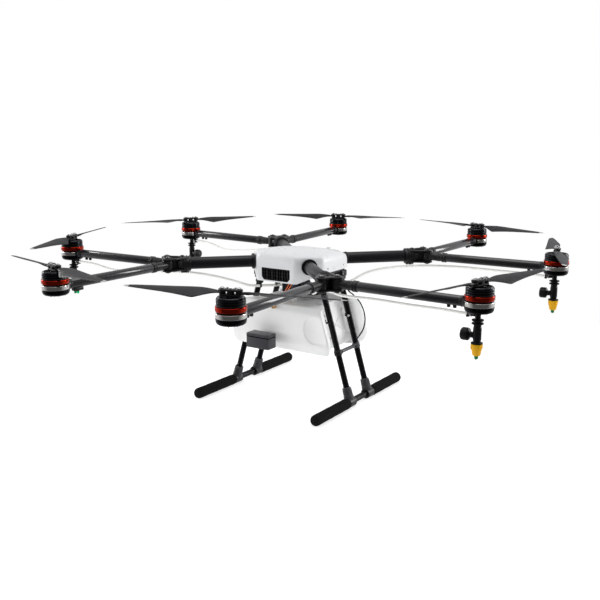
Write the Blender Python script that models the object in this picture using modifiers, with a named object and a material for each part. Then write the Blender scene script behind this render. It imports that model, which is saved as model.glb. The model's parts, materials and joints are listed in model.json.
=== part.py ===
"""Agricultural spray drone: eight rotors on four folding Y arms, with a tank, pump and four nozzles.

Metres, +Z up, front of the machine towards -Y. The origin is on the ground, under the middle of the
whole machine with its propellers at rest. Each named object is one physical piece.
"""
import math

import bmesh
import bpy
from mathutils import Matrix, Vector

# ---- driving dimensions ----
MOTOR_CIRCLE_R = 0.760      # motor axes lie on this circle
HUB_Z = 0.434               # reference height of the hub above the ground
ARM_Z = 0.422               # axis of all arm tubes
RING_Z = 0.437              # middle of the motors' coloured ring
AIRFRAME_AT = (0.023, -0.007, 0.0)  # hub axis; the props at rest reach further to -X and +Y

MAIN_TUBE_R = 0.018
SUB_TUBE_R = 0.013
PIVOT_OUT = 0.405           # fold pivots, measured along and across each main arm
PIVOT_SIDE = 0.021
FORK_HALF_GAP = 0.0145

MOTOR_R = 0.036
SEAT_DEPTH = 0.037          # from the coloured ring down to the seat's flat bottom
PROP_Z = HUB_Z + 0.038
PROP_TIP_R = 0.2667
BLADE_PIN_R = 0.020

SHELL_HALF = 0.130          # flat sides of the body shell
SHELL_CORNER = 0.068        # where a flat side meets a corner facet
SHELL_WALL = 0.0025
DECK_TOP = HUB_Z - 0.036

LEG_TOP_X, LEG_TOP_Z = 0.113, HUB_Z - 0.0703
LEG_Y = 0.054
SKID_SLEEVE_R = 0.0165
SKID_X = 0.216
SKID_Z = SKID_SLEEVE_R * math.cos(math.radians(15))  # the twelve-sided sleeves rest on a flat side
SKID_HALF_LENGTH = 0.252

TANK_TOP, TANK_BOTTOM = HUB_Z - 0.130, HUB_Z - 0.274
TANK_WALL = 0.003
FILLER_Y = 0.070
FILLER_R = 0.030

GAP = 0.0003                # clearance between faces that touch

MAIN_ARM_ANGLES = (45, 135, -135, -45)
# motor number: (main arm angle, side of that arm, angle of the propeller at rest)
ROTORS = {
    1: (-135, 1, -14), 2: (-135, -1, 113), 3: (135, 1, 58), 4: (135, -1, 18),
    5: (45, 1, -14), 6: (45, -1, 111), 7: (-45, 1, 74), 8: (-45, -1, 15),
}
SPRAY_ROTORS = (2, 3, 6, 7)

for leftover in list(bpy.data.objects):
    bpy.data.objects.remove(leftover)

scene = bpy.context.scene
parts = bpy.data.collections.new("spray_drone")
tools = bpy.data.collections.new("cutters")
scene.collection.children.link(parts)
scene.collection.children.link(tools)


# ---- helpers ----
def material(name, colour, roughness, metallic=0.0, alpha=1.0):
    mat = bpy.data.materials.new(name)
    mat.use_nodes = True
    shader = mat.node_tree.nodes["Principled BSDF"]
    shader.inputs["Base Color"].default_value = (*colour, 1.0)
    shader.inputs["Roughness"].default_value = roughness
    shader.inputs["Metallic"].default_value = metallic
    shader.inputs["Alpha"].default_value = alpha
    return mat


def empty(name, parent=None, location=(0, 0, 0), turn=0.0):
    obj = bpy.data.objects.new(name, None)
    scene.collection.objects.link(obj)
    obj.parent = parent
    obj.location = location
    obj.rotation_euler = (0, 0, math.radians(turn))
    return obj


def loose(mesh, location=(0, 0, 0), rotation=(0, 0, 0)):
    """A working solid, made into a tool or baked into a part later."""
    obj = bpy.data.objects.new(mesh.name, mesh)
    tools.objects.link(obj)
    obj.matrix_world = Matrix.LocRotScale(
        Vector(location), Matrix.Rotation(rotation[2], 3, "Z") @ Matrix.Rotation(rotation[1], 3, "Y")
        @ Matrix.Rotation(rotation[0], 3, "X"), Vector((1, 1, 1)))
    obj.hide_render = True
    obj.display_type = "WIRE"
    return obj


def mesh_from(build):
    bm = bmesh.new()
    build(bm)
    bmesh.ops.recalc_face_normals(bm, faces=bm.faces)
    mesh = bpy.data.meshes.new("shape")
    bm.to_mesh(mesh)
    bm.free()
    return mesh


def box(size, location=(0, 0, 0), rotation=(0, 0, 0), bevel=0.0):
    """A box centred on its location, with its edges rounded by a Bevel modifier."""
    def build(bm):
        bmesh.ops.create_cube(bm, size=1.0)
        bmesh.ops.scale(bm, vec=size, verts=bm.verts)
    obj = loose(mesh_from(build), location, rotation)
    if bevel:
        modifier = obj.modifiers.new("Bevel", "BEVEL")
        modifier.width = bevel
        modifier.segments = 1
    return obj


def cylinder(radius, length, location=(0, 0, 0), rotation=(0, 0, 0), sides=12, radius_top=None):
    """A cylinder or cone along its own Z, centred on its location."""
    def build(bm):
        bmesh.ops.create_cone(bm, cap_ends=True, segments=sides, radius1=radius,
                              radius2=radius if radius_top is None else radius_top, depth=length)
    return loose(mesh_from(build), location, rotation)


def turned(profile, steps=12, location=(0, 0, 0), rotation=(0, 0, 0)):
    """A solid of revolution about its own Z; the profile runs top to bottom, from axis to axis."""
    mesh = bpy.data.meshes.new("profile")
    mesh.from_pydata([(r, 0, z) for r, z in profile], [(i, i + 1) for i in range(len(profile) - 1)], [])
    obj = loose(mesh, location, rotation)
    screw = obj.modifiers.new("Screw", "SCREW")
    screw.steps = screw.render_steps = steps
    screw.use_merge_vertices = True
    screw.merge_threshold = 0.0001
    return obj


def plate(outline, thickness, location=(0, 0, 0)):
    """A flat plate with the outline's shape, centred on its location."""
    def build(bm):
        face = bm.faces.new([bm.verts.new((x, y, -thickness / 2)) for x, y in outline])
        raised = bmesh.ops.extrude_face_region(bm, geom=[face])
        top = [v for v in raised["geom"] if isinstance(v, bmesh.types.BMVert)]
        bmesh.ops.translate(bm, vec=(0, 0, thickness), verts=top)
    return loose(mesh_from(build), location)


def combine(base, operation, *others):
    """Boolean the other solids into the base, or out of it."""
    for other in others:
        modifier = base.modifiers.new(operation.title(), "BOOLEAN")
        modifier.operation = operation
        modifier.solver = "EXACT"
        modifier.object = other
    return base


def bake(obj):
    """The mesh of an object with its modifiers applied, in world axes."""
    bpy.context.view_layer.update()
    evaluated = obj.evaluated_get(bpy.context.evaluated_depsgraph_get())
    mesh = bpy.data.meshes.new_from_object(evaluated)
    mesh.transform(obj.matrix_world)
    return mesh


def shaped(obj):
    """Bake a finished assembly of tools, and clear the tools away."""
    mesh = bake(obj)
    for used in list(tools.objects):
        bpy.data.objects.remove(used)
    bm = bmesh.new()
    bm.from_mesh(mesh)
    bmesh.ops.remove_doubles(bm, verts=bm.verts, dist=0.00002)
    bmesh.ops.dissolve_degenerate(bm, edges=bm.edges, dist=0.00002)
    bm.to_mesh(mesh)
    bm.free()
    return mesh


def add_part(name, mesh, mat, parent, location=(0, 0, 0), turn=0.0):
    obj = bpy.data.objects.new(name, mesh)
    parts.objects.link(obj)
    if not mesh.materials:
        mesh.materials.append(mat)
        mesh.shade_smooth()
        mesh.set_sharp_from_angle(angle=math.radians(35))
    obj.parent = parent
    obj.location = location
    obj.rotation_euler = (0, 0, math.radians(turn))
    return obj


def arc(centre, radius, start, end, count):
    """Points of an arc in degrees, both ends included."""
    angles = [math.radians(start + (end - start) * i / (count - 1)) for i in range(count)]
    return [(centre[0] + radius * math.cos(a), centre[1] + radius * math.sin(a)) for a in angles]


def polar(radius, angle):
    return Vector((radius * math.cos(math.radians(angle)), radius * math.sin(math.radians(angle)), 0))


# ---- materials ----
white_shell = material("white_shell", (0.86, 0.87, 0.88), 0.35)
black_plastic = material("black_plastic", (0.02, 0.02, 0.022), 0.45)
carbon = material("carbon_tube", (0.035, 0.035, 0.04), 0.35)
joint_black = material("joint_black", (0.03, 0.03, 0.033), 0.5)
blade_grey = material("blade_grey", (0.06, 0.06, 0.07), 0.5)
motor_black = material("motor_black", (0.05, 0.05, 0.055), 0.35, 0.6)
tank_white = material("tank_white", (0.88, 0.89, 0.88), 0.4)
hose_clear = material("hose_clear", (0.85, 0.86, 0.85), 0.3)
foam_black = material("foam_black", (0.015, 0.015, 0.015), 0.9)
battery_grey = material("battery_grey", (0.10, 0.10, 0.11), 0.5)
pump_black = material("pump_black", (0.03, 0.03, 0.03), 0.5)

QUARTER = math.pi / 2
airframe = empty("airframe", None, AIRFRAME_AT)


# ---- hub: deck, shell, grille, battery ----
def octagon(half, corner):
    """Square with flat cut corners, counter-clockwise from the right side's front end."""
    return [(half, -corner), (half, corner), (corner, half), (-corner, half),
            (-half, corner), (-half, -corner), (-corner, -half), (corner, -half)]


def make_center_frame():
    deck = plate(octagon(0.124, 0.064), 0.008, (0, 0, DECK_TOP - 0.004))
    extras = []
    for angle in MAIN_ARM_ANGLES:
        top = ARM_Z - MAIN_TUBE_R - GAP
        height = top - DECK_TOP + 0.002
        x, y, _ = polar(0.118, angle)
        extras.append(box((0.034, 0.030, height), (x, y, top - height / 2), (0, 0, math.radians(angle))))
    for side in (-1, 1):
        for end in (-1, 1):
            top = DECK_TOP - 0.006
            bottom = LEG_TOP_Z + GAP
            extras.append(box((0.031, 0.030, top - bottom),
                              (side * LEG_TOP_X, end * LEG_Y, (top + bottom) / 2), bevel=0.003))
    extras.append(box((0.090, 0.050, 0.034), (0, -0.086, DECK_TOP + 0.015), bevel=0.003))
    return shaped(combine(deck, "UNION", *extras))


def make_body_shell():
    """Octagonal hood: low at the front, higher at the sides, with a top that falls to the rear."""
    outline = octagon(SHELL_HALF, SHELL_CORNER)
    front_drop, side_drop = -0.063, -0.035

    def build(bm):
        def ring(scale, height):
            return [bm.verts.new((x * scale, y * scale, HUB_Z + height(x, y))) for x, y in outline]
        lower = ring(1.0, lambda x, y: front_drop if y < -0.1 else side_drop)
        upper = ring(1.0, lambda x, y: 0.008 - 0.04 * y)
        brow = ring(0.86, lambda x, y: 0.017 - 0.05 * y)
        crown = ring(0.45, lambda x, y: 0.025 - 0.04 * y)
        for first, second in ((lower, upper), (upper, brow), (brow, crown)):
            for i in range(8):
                j = (i + 1) % 8
                bm.faces.new((first[i], first[j], second[j], second[i]))
        bm.faces.new(crown)
    shell = loose(mesh_from(build))
    rounding = shell.modifiers.new("Bevel", "BEVEL")
    rounding.width = 0.007
    rounding.segments = 2
    rounding.limit_method = "ANGLE"
    rounding.angle_limit = math.radians(12)
    wall = shell.modifiers.new("Solidify", "SOLIDIFY")
    wall.thickness = SHELL_WALL
    wall.offset = -1
    cuts = []
    for angle in MAIN_ARM_ANGLES:
        x, y, _ = polar(0.140, angle)
        cuts.append(cylinder(MAIN_TUBE_R + 0.0005, 0.06, (x, y, ARM_Z),
                             (0, QUARTER, math.radians(angle)), sides=20))
    cuts.append(box((0.102, 0.03, 0.037), (0, -SHELL_HALF, HUB_Z - 0.0405)))
    cuts.append(box((0.092, 0.03, 0.073), (0, SHELL_HALF, HUB_Z - 0.0355)))
    return shaped(combine(shell, "DIFFERENCE", *cuts))


def make_intake_grille():
    """A framed row of upright slats, set into the front of the shell."""
    frame = box((0.1012, 0.006, 0.0362), (0, -SHELL_HALF + 0.0028, HUB_Z - 0.0405))
    slots = [box((0.0085, 0.02, 0.028), ((i - 3) * 0.0132, -SHELL_HALF, HUB_Z - 0.0405)) for i in range(7)]
    return shaped(combine(frame, "DIFFERENCE", *slots))


def make_battery():
    bottom = DECK_TOP + GAP
    pack = box((0.088, 0.1755, 0.0350), (0, 0.038, bottom + 0.0175), bevel=0.003)
    grip = box((0.050, 0.016, 0.014), (0, 0.131, bottom + 0.018), bevel=0.003)
    return shaped(combine(pack, "UNION", grip))


add_part("center_frame", make_center_frame(), joint_black, airframe)
add_part("body_shell", make_body_shell(), white_shell, airframe)
add_part("intake_grille", make_intake_grille(), black_plastic, airframe)
add_part("battery", make_battery(), battery_grey, airframe)


# ---- main arms and Y joints ----
def make_main_arm():
    """Carbon tube along +X, open at both ends, with the collar that closes the shell's hole."""
    inner, outer, start, end = MAIN_TUBE_R - 0.002, MAIN_TUBE_R, 0.100, 0.3347
    collar = ((outer, 0.1495), (0.0225, 0.1485), (0.0235, 0.1425), (outer, 0.1415))
    profile = [(inner, end), (outer, end), *collar, (outer, start), (inner, start), (inner, end)]
    return shaped(turned(profile, 12, (0, 0, 0), (0, QUARTER, 0)))


def make_y_joint():
    """Ribbed clamp on the main tube, and a two-plate fork that holds both fold pins."""
    reach = PIVOT_OUT
    clamp = turned([(0, 0.374), (0.018, 0.374), (0.0235, 0.368), (0.0235, 0.345), (0.0205, 0.335),
                    (0, 0.335)], 12, (0, 0, 0), (0, QUARTER, 0))
    outline = (arc((reach, PIVOT_SIDE), 0.0160, -30, 120, 5)
               + arc((0.358, 0), 0.0185, 120, 240, 3)
               + arc((reach, -PIVOT_SIDE), 0.0160, -120, 30, 5))
    fork = 0.005
    level = FORK_HALF_GAP + fork / 2
    extras = [plate(outline, fork, (0, 0, level)), plate(outline, fork, (0, 0, -level)),
              box((0.030, 0.019, 2 * level), (0.3765, 0, 0))]
    for side in (-1, 1):
        extras.append(cylinder(0.004, 2 * level, (reach, side * PIVOT_SIDE, 0), sides=6))
        extras.append(cylinder(0.0085, 0.006, (reach, side * PIVOT_SIDE, level + fork / 2 + 0.002), sides=8))
    return shaped(combine(clamp, "UNION", *extras))


main_arm_mesh, y_joint_mesh = make_main_arm(), make_y_joint()
arm_frames = {}
for number, angle in enumerate(MAIN_ARM_ANGLES, 1):
    arm_frames[angle] = empty(f"arm_frame_{number}", airframe, (0, 0, ARM_Z), angle)
    add_part(f"main_arm_{number}", main_arm_mesh, carbon, arm_frames[angle])
    add_part(f"y_joint_{number}", y_joint_mesh, joint_black, arm_frames[angle])


# ---- sub arms, rotors and blades ----
motor_along = MOTOR_CIRCLE_R * math.cos(math.radians(22.5)) - PIVOT_OUT
motor_across = MOTOR_CIRCLE_R * math.sin(math.radians(22.5)) - PIVOT_SIDE
SUB_ARM_LENGTH = math.hypot(motor_along, motor_across)
SUB_ARM_SPLAY = math.degrees(math.atan2(motor_across, motor_along))
RING_UP = RING_Z - ARM_Z


def make_sub_arm():
    """Folding tube along +X: pivot knuckle at the origin, motor seat at the far end."""
    tube_end, under_rotor = SUB_ARM_LENGTH - 0.010, SUB_ARM_LENGTH - MOTOR_R - 0.001
    tube = turned([(0, tube_end), (0.0078, tube_end), (0.0078, under_rotor),
                   (SUB_TUBE_R, under_rotor - 0.001), (SUB_TUBE_R, 0.064), (0.0150, 0.062),
                   (0.0150, 0.052), (0.0118, 0.050), (0.0118, 0.008), (0, 0.008)],
                  10, (0, 0, 0), (0, QUARTER, 0))
    knuckle = cylinder(0.0150, 2 * (FORK_HALF_GAP - 0.0004), sides=12)
    seat = turned([(0, RING_UP - 0.0068), (0.0345, RING_UP - 0.0068), (0.0352, RING_UP - 0.021),
                   (0.0340, RING_UP - 0.031), (0.0270, RING_UP - SEAT_DEPTH), (0, RING_UP - SEAT_DEPTH)],
                  12, (SUB_ARM_LENGTH, 0, 0))
    bore = cylinder(0.0045, 0.05, sides=10)
    return shaped(combine(combine(tube, "UNION", knuckle, seat), "DIFFERENCE", bore))


def make_rotor():
    """Motor bell with its coloured ring, and the clamp that holds both blade pins."""
    bell = turned([(0, 0.0262), (0.0290, 0.0258), (0.0328, 0.0235), (0.0336, 0.0062), (MOTOR_R, 0.0055),
                   (MOTOR_R, -0.0055), (0.0340, -0.0063), (0, -0.0063)], 12)
    middle = PROP_Z - RING_Z
    size = (2 * BLADE_PIN_R + 0.013, 0.019, 0.0045)
    lower = box(size, (0, 0, middle - 0.0055))
    upper = box(size, (0, 0, middle + 0.0055))
    boss = cylinder(0.0085, 0.023, (0, 0, middle - 0.0015), sides=8)
    pins = [cylinder(0.0024, 0.012, (side * BLADE_PIN_R, 0, middle), sides=6) for side in (-1, 1)]
    return shaped(combine(bell, "UNION", lower, upper, boss, *pins))


def make_blade(turn_sign):
    """One folding blade along +X from its pin at the origin; turn_sign mirrors it for the other spin."""
    span = PROP_TIP_R - BLADE_PIN_R
    # share of span, chord ahead of and behind the pin line, half thickness, pitch in degrees
    stations = ((0.020, 0.0060, 0.0060, 0.0024, 0), (0.13, 0.0120, 0.0150, 0.0022, 17),
                (0.25, 0.0150, 0.0300, 0.0018, 21), (0.33, 0.0150, 0.0270, 0.0016, 19),
                (0.65, 0.0120, 0.0165, 0.0012, 13), (1.00, 0.0045, 0.0060, 0.0006, 8))

    def build(bm):
        rings = []
        for share, ahead, behind, half_thick, pitch in stations:
            tilt = math.radians(pitch)
            section = ((ahead, 0), (-0.2 * behind, half_thick), (-behind, 0), (-0.2 * behind, -half_thick))
            rings.append([bm.verts.new((share * span,
                                        turn_sign * (y * math.cos(tilt) - z * math.sin(tilt)),
                                        y * math.sin(tilt) + z * math.cos(tilt))) for y, z in section])
        for first, second in zip(rings, rings[1:]):
            for i in range(4):
                j = (i + 1) % 4
                bm.faces.new((first[i], first[j], second[j], second[i]))
        bm.faces.new(rings[0])
        bm.faces.new(rings[-1])
    blade = loose(mesh_from(build))
    root = cylinder(0.0080, 0.0058, sides=10)
    bore = cylinder(0.0029, 0.03, sides=6)
    return shaped(combine(combine(root, "UNION", blade), "DIFFERENCE", bore))


sub_arm_mesh, rotor_mesh = make_sub_arm(), make_rotor()
blade_meshes = {sign: make_blade(sign) for sign in (1, -1)}
sub_frames = {}
for number, (arm_angle, side, prop_angle) in ROTORS.items():
    sub_frames[number] = empty(f"fold_{number}", arm_frames[arm_angle],
                               (PIVOT_OUT, side * PIVOT_SIDE, 0), side * SUB_ARM_SPLAY)
    add_part(f"sub_arm_{number}", sub_arm_mesh, carbon, sub_frames[number])
    prop_turn = prop_angle - arm_angle - side * SUB_ARM_SPLAY
    spin = empty(f"spin_{number}", sub_frames[number], (SUB_ARM_LENGTH, 0, RING_UP), prop_turn)
    add_part(f"rotor_{number}", rotor_mesh, motor_black, spin)
    for letter, out in (("a", 1), ("b", -1)):
        add_part(f"blade_{number}{letter}", blade_meshes[1 if number % 2 else -1], blade_grey, spin,
                 (out * BLADE_PIN_R, 0, PROP_Z - RING_Z), 0 if out == 1 else 180)


# ---- spray nozzles and hoses ----
NOZZLE_TOP = RING_Z - SEAT_DEPTH - GAP - HUB_Z
NOZZLE_OUT = SUB_ARM_LENGTH - 0.002
# how much further each hose hangs below its main arm, and below its folding arm
HOSE_SAG = {2: (0.014, 0.016), 3: (0.008, 0.024), 6: (0.0, 0.0), 7: (0.004, 0.002)}


def make_nozzle():
    """Nozzle under a motor seat: stem, check valve facing the hub, cap and spray tip.

    Heights are counted from the hub's reference height.
    """
    body = turned([(0, NOZZLE_TOP), (0.007, NOZZLE_TOP), (0.007, -0.050), (0.0145, -0.051),
                   (0.0145, -0.054), (0.0095, -0.055), (0.0095, -0.058), (0.0145, -0.059),
                   (0.0145, -0.062), (0.0095, -0.063), (0.0095, -0.106), (0.0145, -0.108),
                   (0.0145, -0.116), (0.0095, -0.139), (0.0050, -0.1395), (0.0050, -0.148), (0, -0.148)], 10)
    valve = cylinder(0.0150, 0.020, (-0.030, 0, -0.090), (0, QUARTER, 0), sides=10)
    neck = cylinder(0.0075, 0.022, (-0.011, 0, -0.090), (0, QUARTER, 0), sides=8)
    barb = cylinder(0.0040, 0.020, (-0.012, 0, -0.0405), (0, QUARTER, 0), sides=8)
    return shaped(combine(body, "UNION", valve, neck, barb))


nozzle_mesh = make_nozzle()
for number in SPRAY_ROTORS:
    add_part(f"nozzle_{number}", nozzle_mesh, black_plastic, sub_frames[number],
             (NOZZLE_OUT, 0, HUB_Z - ARM_Z))


def smooth_path(points, per_span):
    """Points on a Catmull-Rom curve through the route's own points."""
    padded = [points[0] * 2 - points[1], *points, points[-1] * 2 - points[-2]]
    path = []
    for a, b, c, d in zip(padded, padded[1:], padded[2:], padded[3:]):
        for step in range(per_span):
            t = step / per_span
            path.append(0.5 * (2 * b + (c - a) * t + (2 * a - 5 * b + 4 * c - d) * t ** 2
                               + (3 * b - a - 3 * c + d) * t ** 3))
    path.append(points[-1])
    return path


def make_tube(name, points, radius, mat, per_span=3):
    curve = bpy.data.curves.new(name, "CURVE")
    curve.dimensions = "3D"
    spline = curve.splines.new("POLY")
    path = smooth_path([Vector(p) for p in points], per_span)
    spline.points.add(len(path) - 1)
    for point, place in zip(spline.points, path):
        point.co = (*place, 1.0)
    curve.bevel_depth = radius
    curve.bevel_resolution = 2
    curve.render_resolution_u = 0
    curve.use_fill_caps = True
    curve.materials.append(mat)
    obj = bpy.data.objects.new(name, curve)
    parts.objects.link(obj)
    obj.parent = airframe
    return obj


def hose_route(number):
    """From the pump manifold, under the main arm and the Y joint, along the sub arm to the barb."""
    arm_angle, side, _ = ROTORS[number]
    along, across = polar(1, arm_angle), polar(1, arm_angle + 90) * side
    sub = polar(1, arm_angle + side * SUB_ARM_SPLAY)
    pivot = along * PIVOT_OUT + across * PIVOT_SIDE

    def at(place, rel_z):
        return (place.x, place.y, HUB_Z + rel_z)
    barb = pivot + sub * (NOZZLE_OUT - 0.0223)
    sag, slack = HOSE_SAG[number]
    return [at(along * 0.1283 + across * 0.012, -0.092), at(along * 0.140 + across * 0.0125, -0.0915),
            at(along * 0.165 + across * 0.014, -0.081 - 0.5 * sag),
            at(along * 0.215 + across * 0.015, -0.057 - sag),
            at(along * 0.280 + across * 0.017, -0.0455 - 0.6 * sag),
            at(along * 0.345 + across * 0.018, -0.0430), at(pivot + sub * 0.020, -0.0415),
            at(pivot + sub * 0.110, -0.0375 - 0.7 * slack), at(pivot + sub * 0.220, -0.0380 - slack),
            at(pivot + sub * 0.300, -0.0385 - 0.3 * slack), at(barb - sub * 0.020, -0.0405),
            at(barb, -0.0405)]


for number in SPRAY_ROTORS:
    make_tube(f"hose_{number}", hose_route(number), 0.0040, hose_clear, 2)


# ---- tank, cap and pump ----
def make_tank():
    """Hollow tank: wide at front and rear, waisted where the legs pass, flared downwards."""
    def build(bm):
        outline = [(0.150, -0.118), (0.132, -0.080), (0.110, -0.074), (0.110, 0.074), (0.132, 0.080),
                   (0.150, 0.118)]
        outline += [(-x, y) for x, y in reversed(outline)]
        levels = ((TANK_BOTTOM, 0.022, 0.90), (TANK_BOTTOM + 0.030, 0.036, 1.0),
                  (TANK_TOP - 0.020, 0.006, 1.0), (TANK_TOP, -0.004, 0.90))
        rings = []
        for z, spread, depth in levels:
            rings.append([bm.verts.new((x + math.copysign(spread, x), y * depth, z)) for x, y in outline])
        count = len(outline)
        for first, second in zip(rings, rings[1:]):
            for i in range(count):
                j = (i + 1) % count
                bm.faces.new((first[i], first[j], second[j], second[i]))
        bm.faces.new(rings[0])
        bm.faces.new(rings[-1])
    body = loose(mesh_from(build))
    rounding = body.modifiers.new("Bevel", "BEVEL")
    rounding.width = 0.006
    rounding.segments = 2
    rounding.limit_method = "ANGLE"
    rounding.angle_limit = math.radians(30)
    wall = body.modifiers.new("Solidify", "SOLIDIFY")
    wall.thickness = TANK_WALL
    wall.offset = -1
    wall.use_even_offset = True
    neck = cylinder(FILLER_R, 0.020, (0, FILLER_Y, TANK_TOP + 0.006), sides=16)
    filler = cylinder(FILLER_R - 0.004, 0.060, (0, FILLER_Y, TANK_TOP), sides=16)
    return shaped(combine(combine(body, "UNION", neck), "DIFFERENCE", filler))


def make_tank_cap():
    inner = FILLER_R + 0.0012
    rim = [(0, 0.020), (0.033, 0.020), (0.036, 0.017), (0.036, 0), (inner, 0), (inner, 0.0163), (0, 0.0163)]
    return shaped(turned(rim, 16))


def make_pump():
    """Diaphragm pump between deck and tank, with four hose outlets and its manifold."""
    body = box((0.070, 0.060, 0.036), (0, -0.020, HUB_Z - 0.092), bevel=0.004)
    head = cylinder(0.022, 0.050, (0, 0.005, HUB_Z - 0.092), (QUARTER, 0, 0), sides=12)
    post = box((0.040, 0.030, 0.034), (0, -0.020, HUB_Z - 0.0613))
    outlets = []
    for number in SPRAY_ROTORS:
        arm_angle, side, _ = ROTORS[number]
        place = polar(0.075, arm_angle) + polar(0.012 * side, arm_angle + 90)
        outlets.append(cylinder(0.0040, 0.105, (place.x, place.y, HUB_Z - 0.092),
                                (0, QUARTER, math.radians(arm_angle)), sides=8))
    return shaped(combine(body, "UNION", head, post, *outlets))


add_part("tank", make_tank(), tank_white, airframe)
add_part("tank_cap", make_tank_cap(), black_plastic, airframe, (0, FILLER_Y, TANK_TOP + GAP))
add_part("pump", make_pump(), pump_black, airframe)


# ---- landing gear and radar ----
def make_gear(side):
    """Two splayed legs joined by a brace, with tees that grip the skid tube."""
    rise = LEG_TOP_Z - SKID_Z
    lean = SKID_X - LEG_TOP_X
    length = math.hypot(rise, lean)
    tilt = -side * math.atan2(lean, rise)
    middle_x, middle_z = side * (SKID_X + LEG_TOP_X) / 2, (SKID_Z + LEG_TOP_Z) / 2
    legs, tees = [], []
    up = Vector((-side * lean, 0, rise)).normalized()
    for end in (-1, 1):
        middle = Vector((middle_x, end * LEG_Y, middle_z)) + up * 0.003
        legs.append(cylinder(0.009, length + 0.006, middle, (0, tilt, 0), sides=10))
        place = Vector((side * SKID_X, end * LEG_Y, SKID_Z)) + up * 0.022
        tees.append(cylinder(0.0155, 0.044, place, (0, tilt, 0), sides=10, radius_top=0.0115))
        tees.append(cylinder(0.0155, 0.034, (side * SKID_X, end * LEG_Y, SKID_Z), (QUARTER, 0, 0), sides=12))
    brace_z = HUB_Z - 0.272
    brace_x = side * (LEG_TOP_X + lean * (LEG_TOP_Z - brace_z) / rise)
    brace = cylinder(0.006, 2 * LEG_Y, (brace_x, 0, brace_z), (QUARTER, 0, 0), sides=8)
    tunnel = cylinder(0.0103, 0.3, (side * SKID_X, 0, SKID_Z), (QUARTER, 0, 0), sides=12)
    level_top = box((0.1, 0.2, 0.04), (side * LEG_TOP_X, 0, LEG_TOP_Z + 0.02))
    gear = combine(legs[0], "UNION", legs[1], brace, *tees)
    return shaped(combine(gear, "DIFFERENCE", tunnel, level_top))


def make_skid():
    """Skid tube along Y with a thick foam sleeve on each end."""
    sleeve_r, tube_r, end, start = SKID_SLEEVE_R, 0.0095, SKID_HALF_LENGTH, LEG_Y + 0.0175
    profile = [(0, end), (0.0130, end), (sleeve_r, end - 0.004), (sleeve_r, start), (tube_r, start),
               (tube_r, -start), (sleeve_r, -start), (sleeve_r, -end + 0.004), (0.0130, -end), (0, -end)]
    return shaped(turned(profile, 12, (0, 0, 0), (QUARTER, math.radians(15), 0)))


def make_radar():
    """Height radar in front of the tank, on a bar from the left leg."""
    body = box((0.082, 0.042, 0.045), (-0.0340, -0.160, HUB_Z - 0.239), bevel=0.006)
    bar = box((0.030, 0.018, 0.012), (-0.0355, -0.1305, HUB_Z - 0.239))
    return shaped(combine(body, "UNION", bar))


skid_mesh = make_skid()
for name, side in (("left", -1), ("right", 1)):
    add_part(f"gear_{name}", make_gear(side), black_plastic, airframe)
    add_part(f"skid_{name}", skid_mesh, foam_black, airframe, (side * SKID_X, 0, SKID_Z))
add_part("radar", make_radar(), black_plastic, airframe)
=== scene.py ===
"""Looks of the agricultural spray drone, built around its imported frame.

Metres, +Z up, front of the machine towards -Y. Each frame node is replaced by a finer piece in the same
place, which rides on the same body. Sizes that the frame fixes are read from it.
"""
import json
import math

import bmesh
import bpy
from mathutils import Matrix, Vector

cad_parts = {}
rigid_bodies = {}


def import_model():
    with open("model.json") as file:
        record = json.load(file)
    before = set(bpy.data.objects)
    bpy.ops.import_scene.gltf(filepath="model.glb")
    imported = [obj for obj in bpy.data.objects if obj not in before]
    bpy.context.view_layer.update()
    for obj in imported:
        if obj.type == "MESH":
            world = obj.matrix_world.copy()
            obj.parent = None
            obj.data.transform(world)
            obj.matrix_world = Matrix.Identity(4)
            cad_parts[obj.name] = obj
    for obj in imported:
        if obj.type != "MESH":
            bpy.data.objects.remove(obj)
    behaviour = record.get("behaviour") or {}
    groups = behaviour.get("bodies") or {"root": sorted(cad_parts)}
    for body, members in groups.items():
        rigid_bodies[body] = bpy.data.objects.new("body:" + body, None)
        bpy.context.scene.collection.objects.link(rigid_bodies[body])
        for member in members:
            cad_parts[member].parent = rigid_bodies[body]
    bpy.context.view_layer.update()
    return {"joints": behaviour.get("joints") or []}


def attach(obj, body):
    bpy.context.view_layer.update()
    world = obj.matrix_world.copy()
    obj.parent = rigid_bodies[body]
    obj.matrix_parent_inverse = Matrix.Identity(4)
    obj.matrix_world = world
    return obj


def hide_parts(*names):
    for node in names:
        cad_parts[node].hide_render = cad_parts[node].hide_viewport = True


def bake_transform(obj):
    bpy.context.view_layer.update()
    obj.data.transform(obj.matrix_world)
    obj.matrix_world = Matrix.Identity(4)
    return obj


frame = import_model()

UP = Vector((0, 0, 1))
ORIGIN = Vector((0, 0, 0))

# ---- places that the frame gives ----
joints = {joint["name"]: joint for joint in frame["joints"]}
MOTORS = {n: Vector(joints[f"spin_{n}"]["pos_m"]) for n in range(1, 9)}
PIVOTS = {n: Vector(joints[f"fold_{n}"]["pos_m"]) for n in range(1, 9)}
HUB_BELOW_RINGS = 0.003
HUB = sum(MOTORS.values(), ORIGIN) / len(MOTORS)      # on the hub's axis, at the airframe's reference height
HUB.z -= HUB_BELOW_RINGS
ARM_Z = PIVOTS[1].z
ARM_MOTORS = {1: (5, 6), 2: (3, 4), 3: (1, 2), 4: (7, 8)}
SPRAY_MOTORS = (2, 3, 6, 7)
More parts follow.
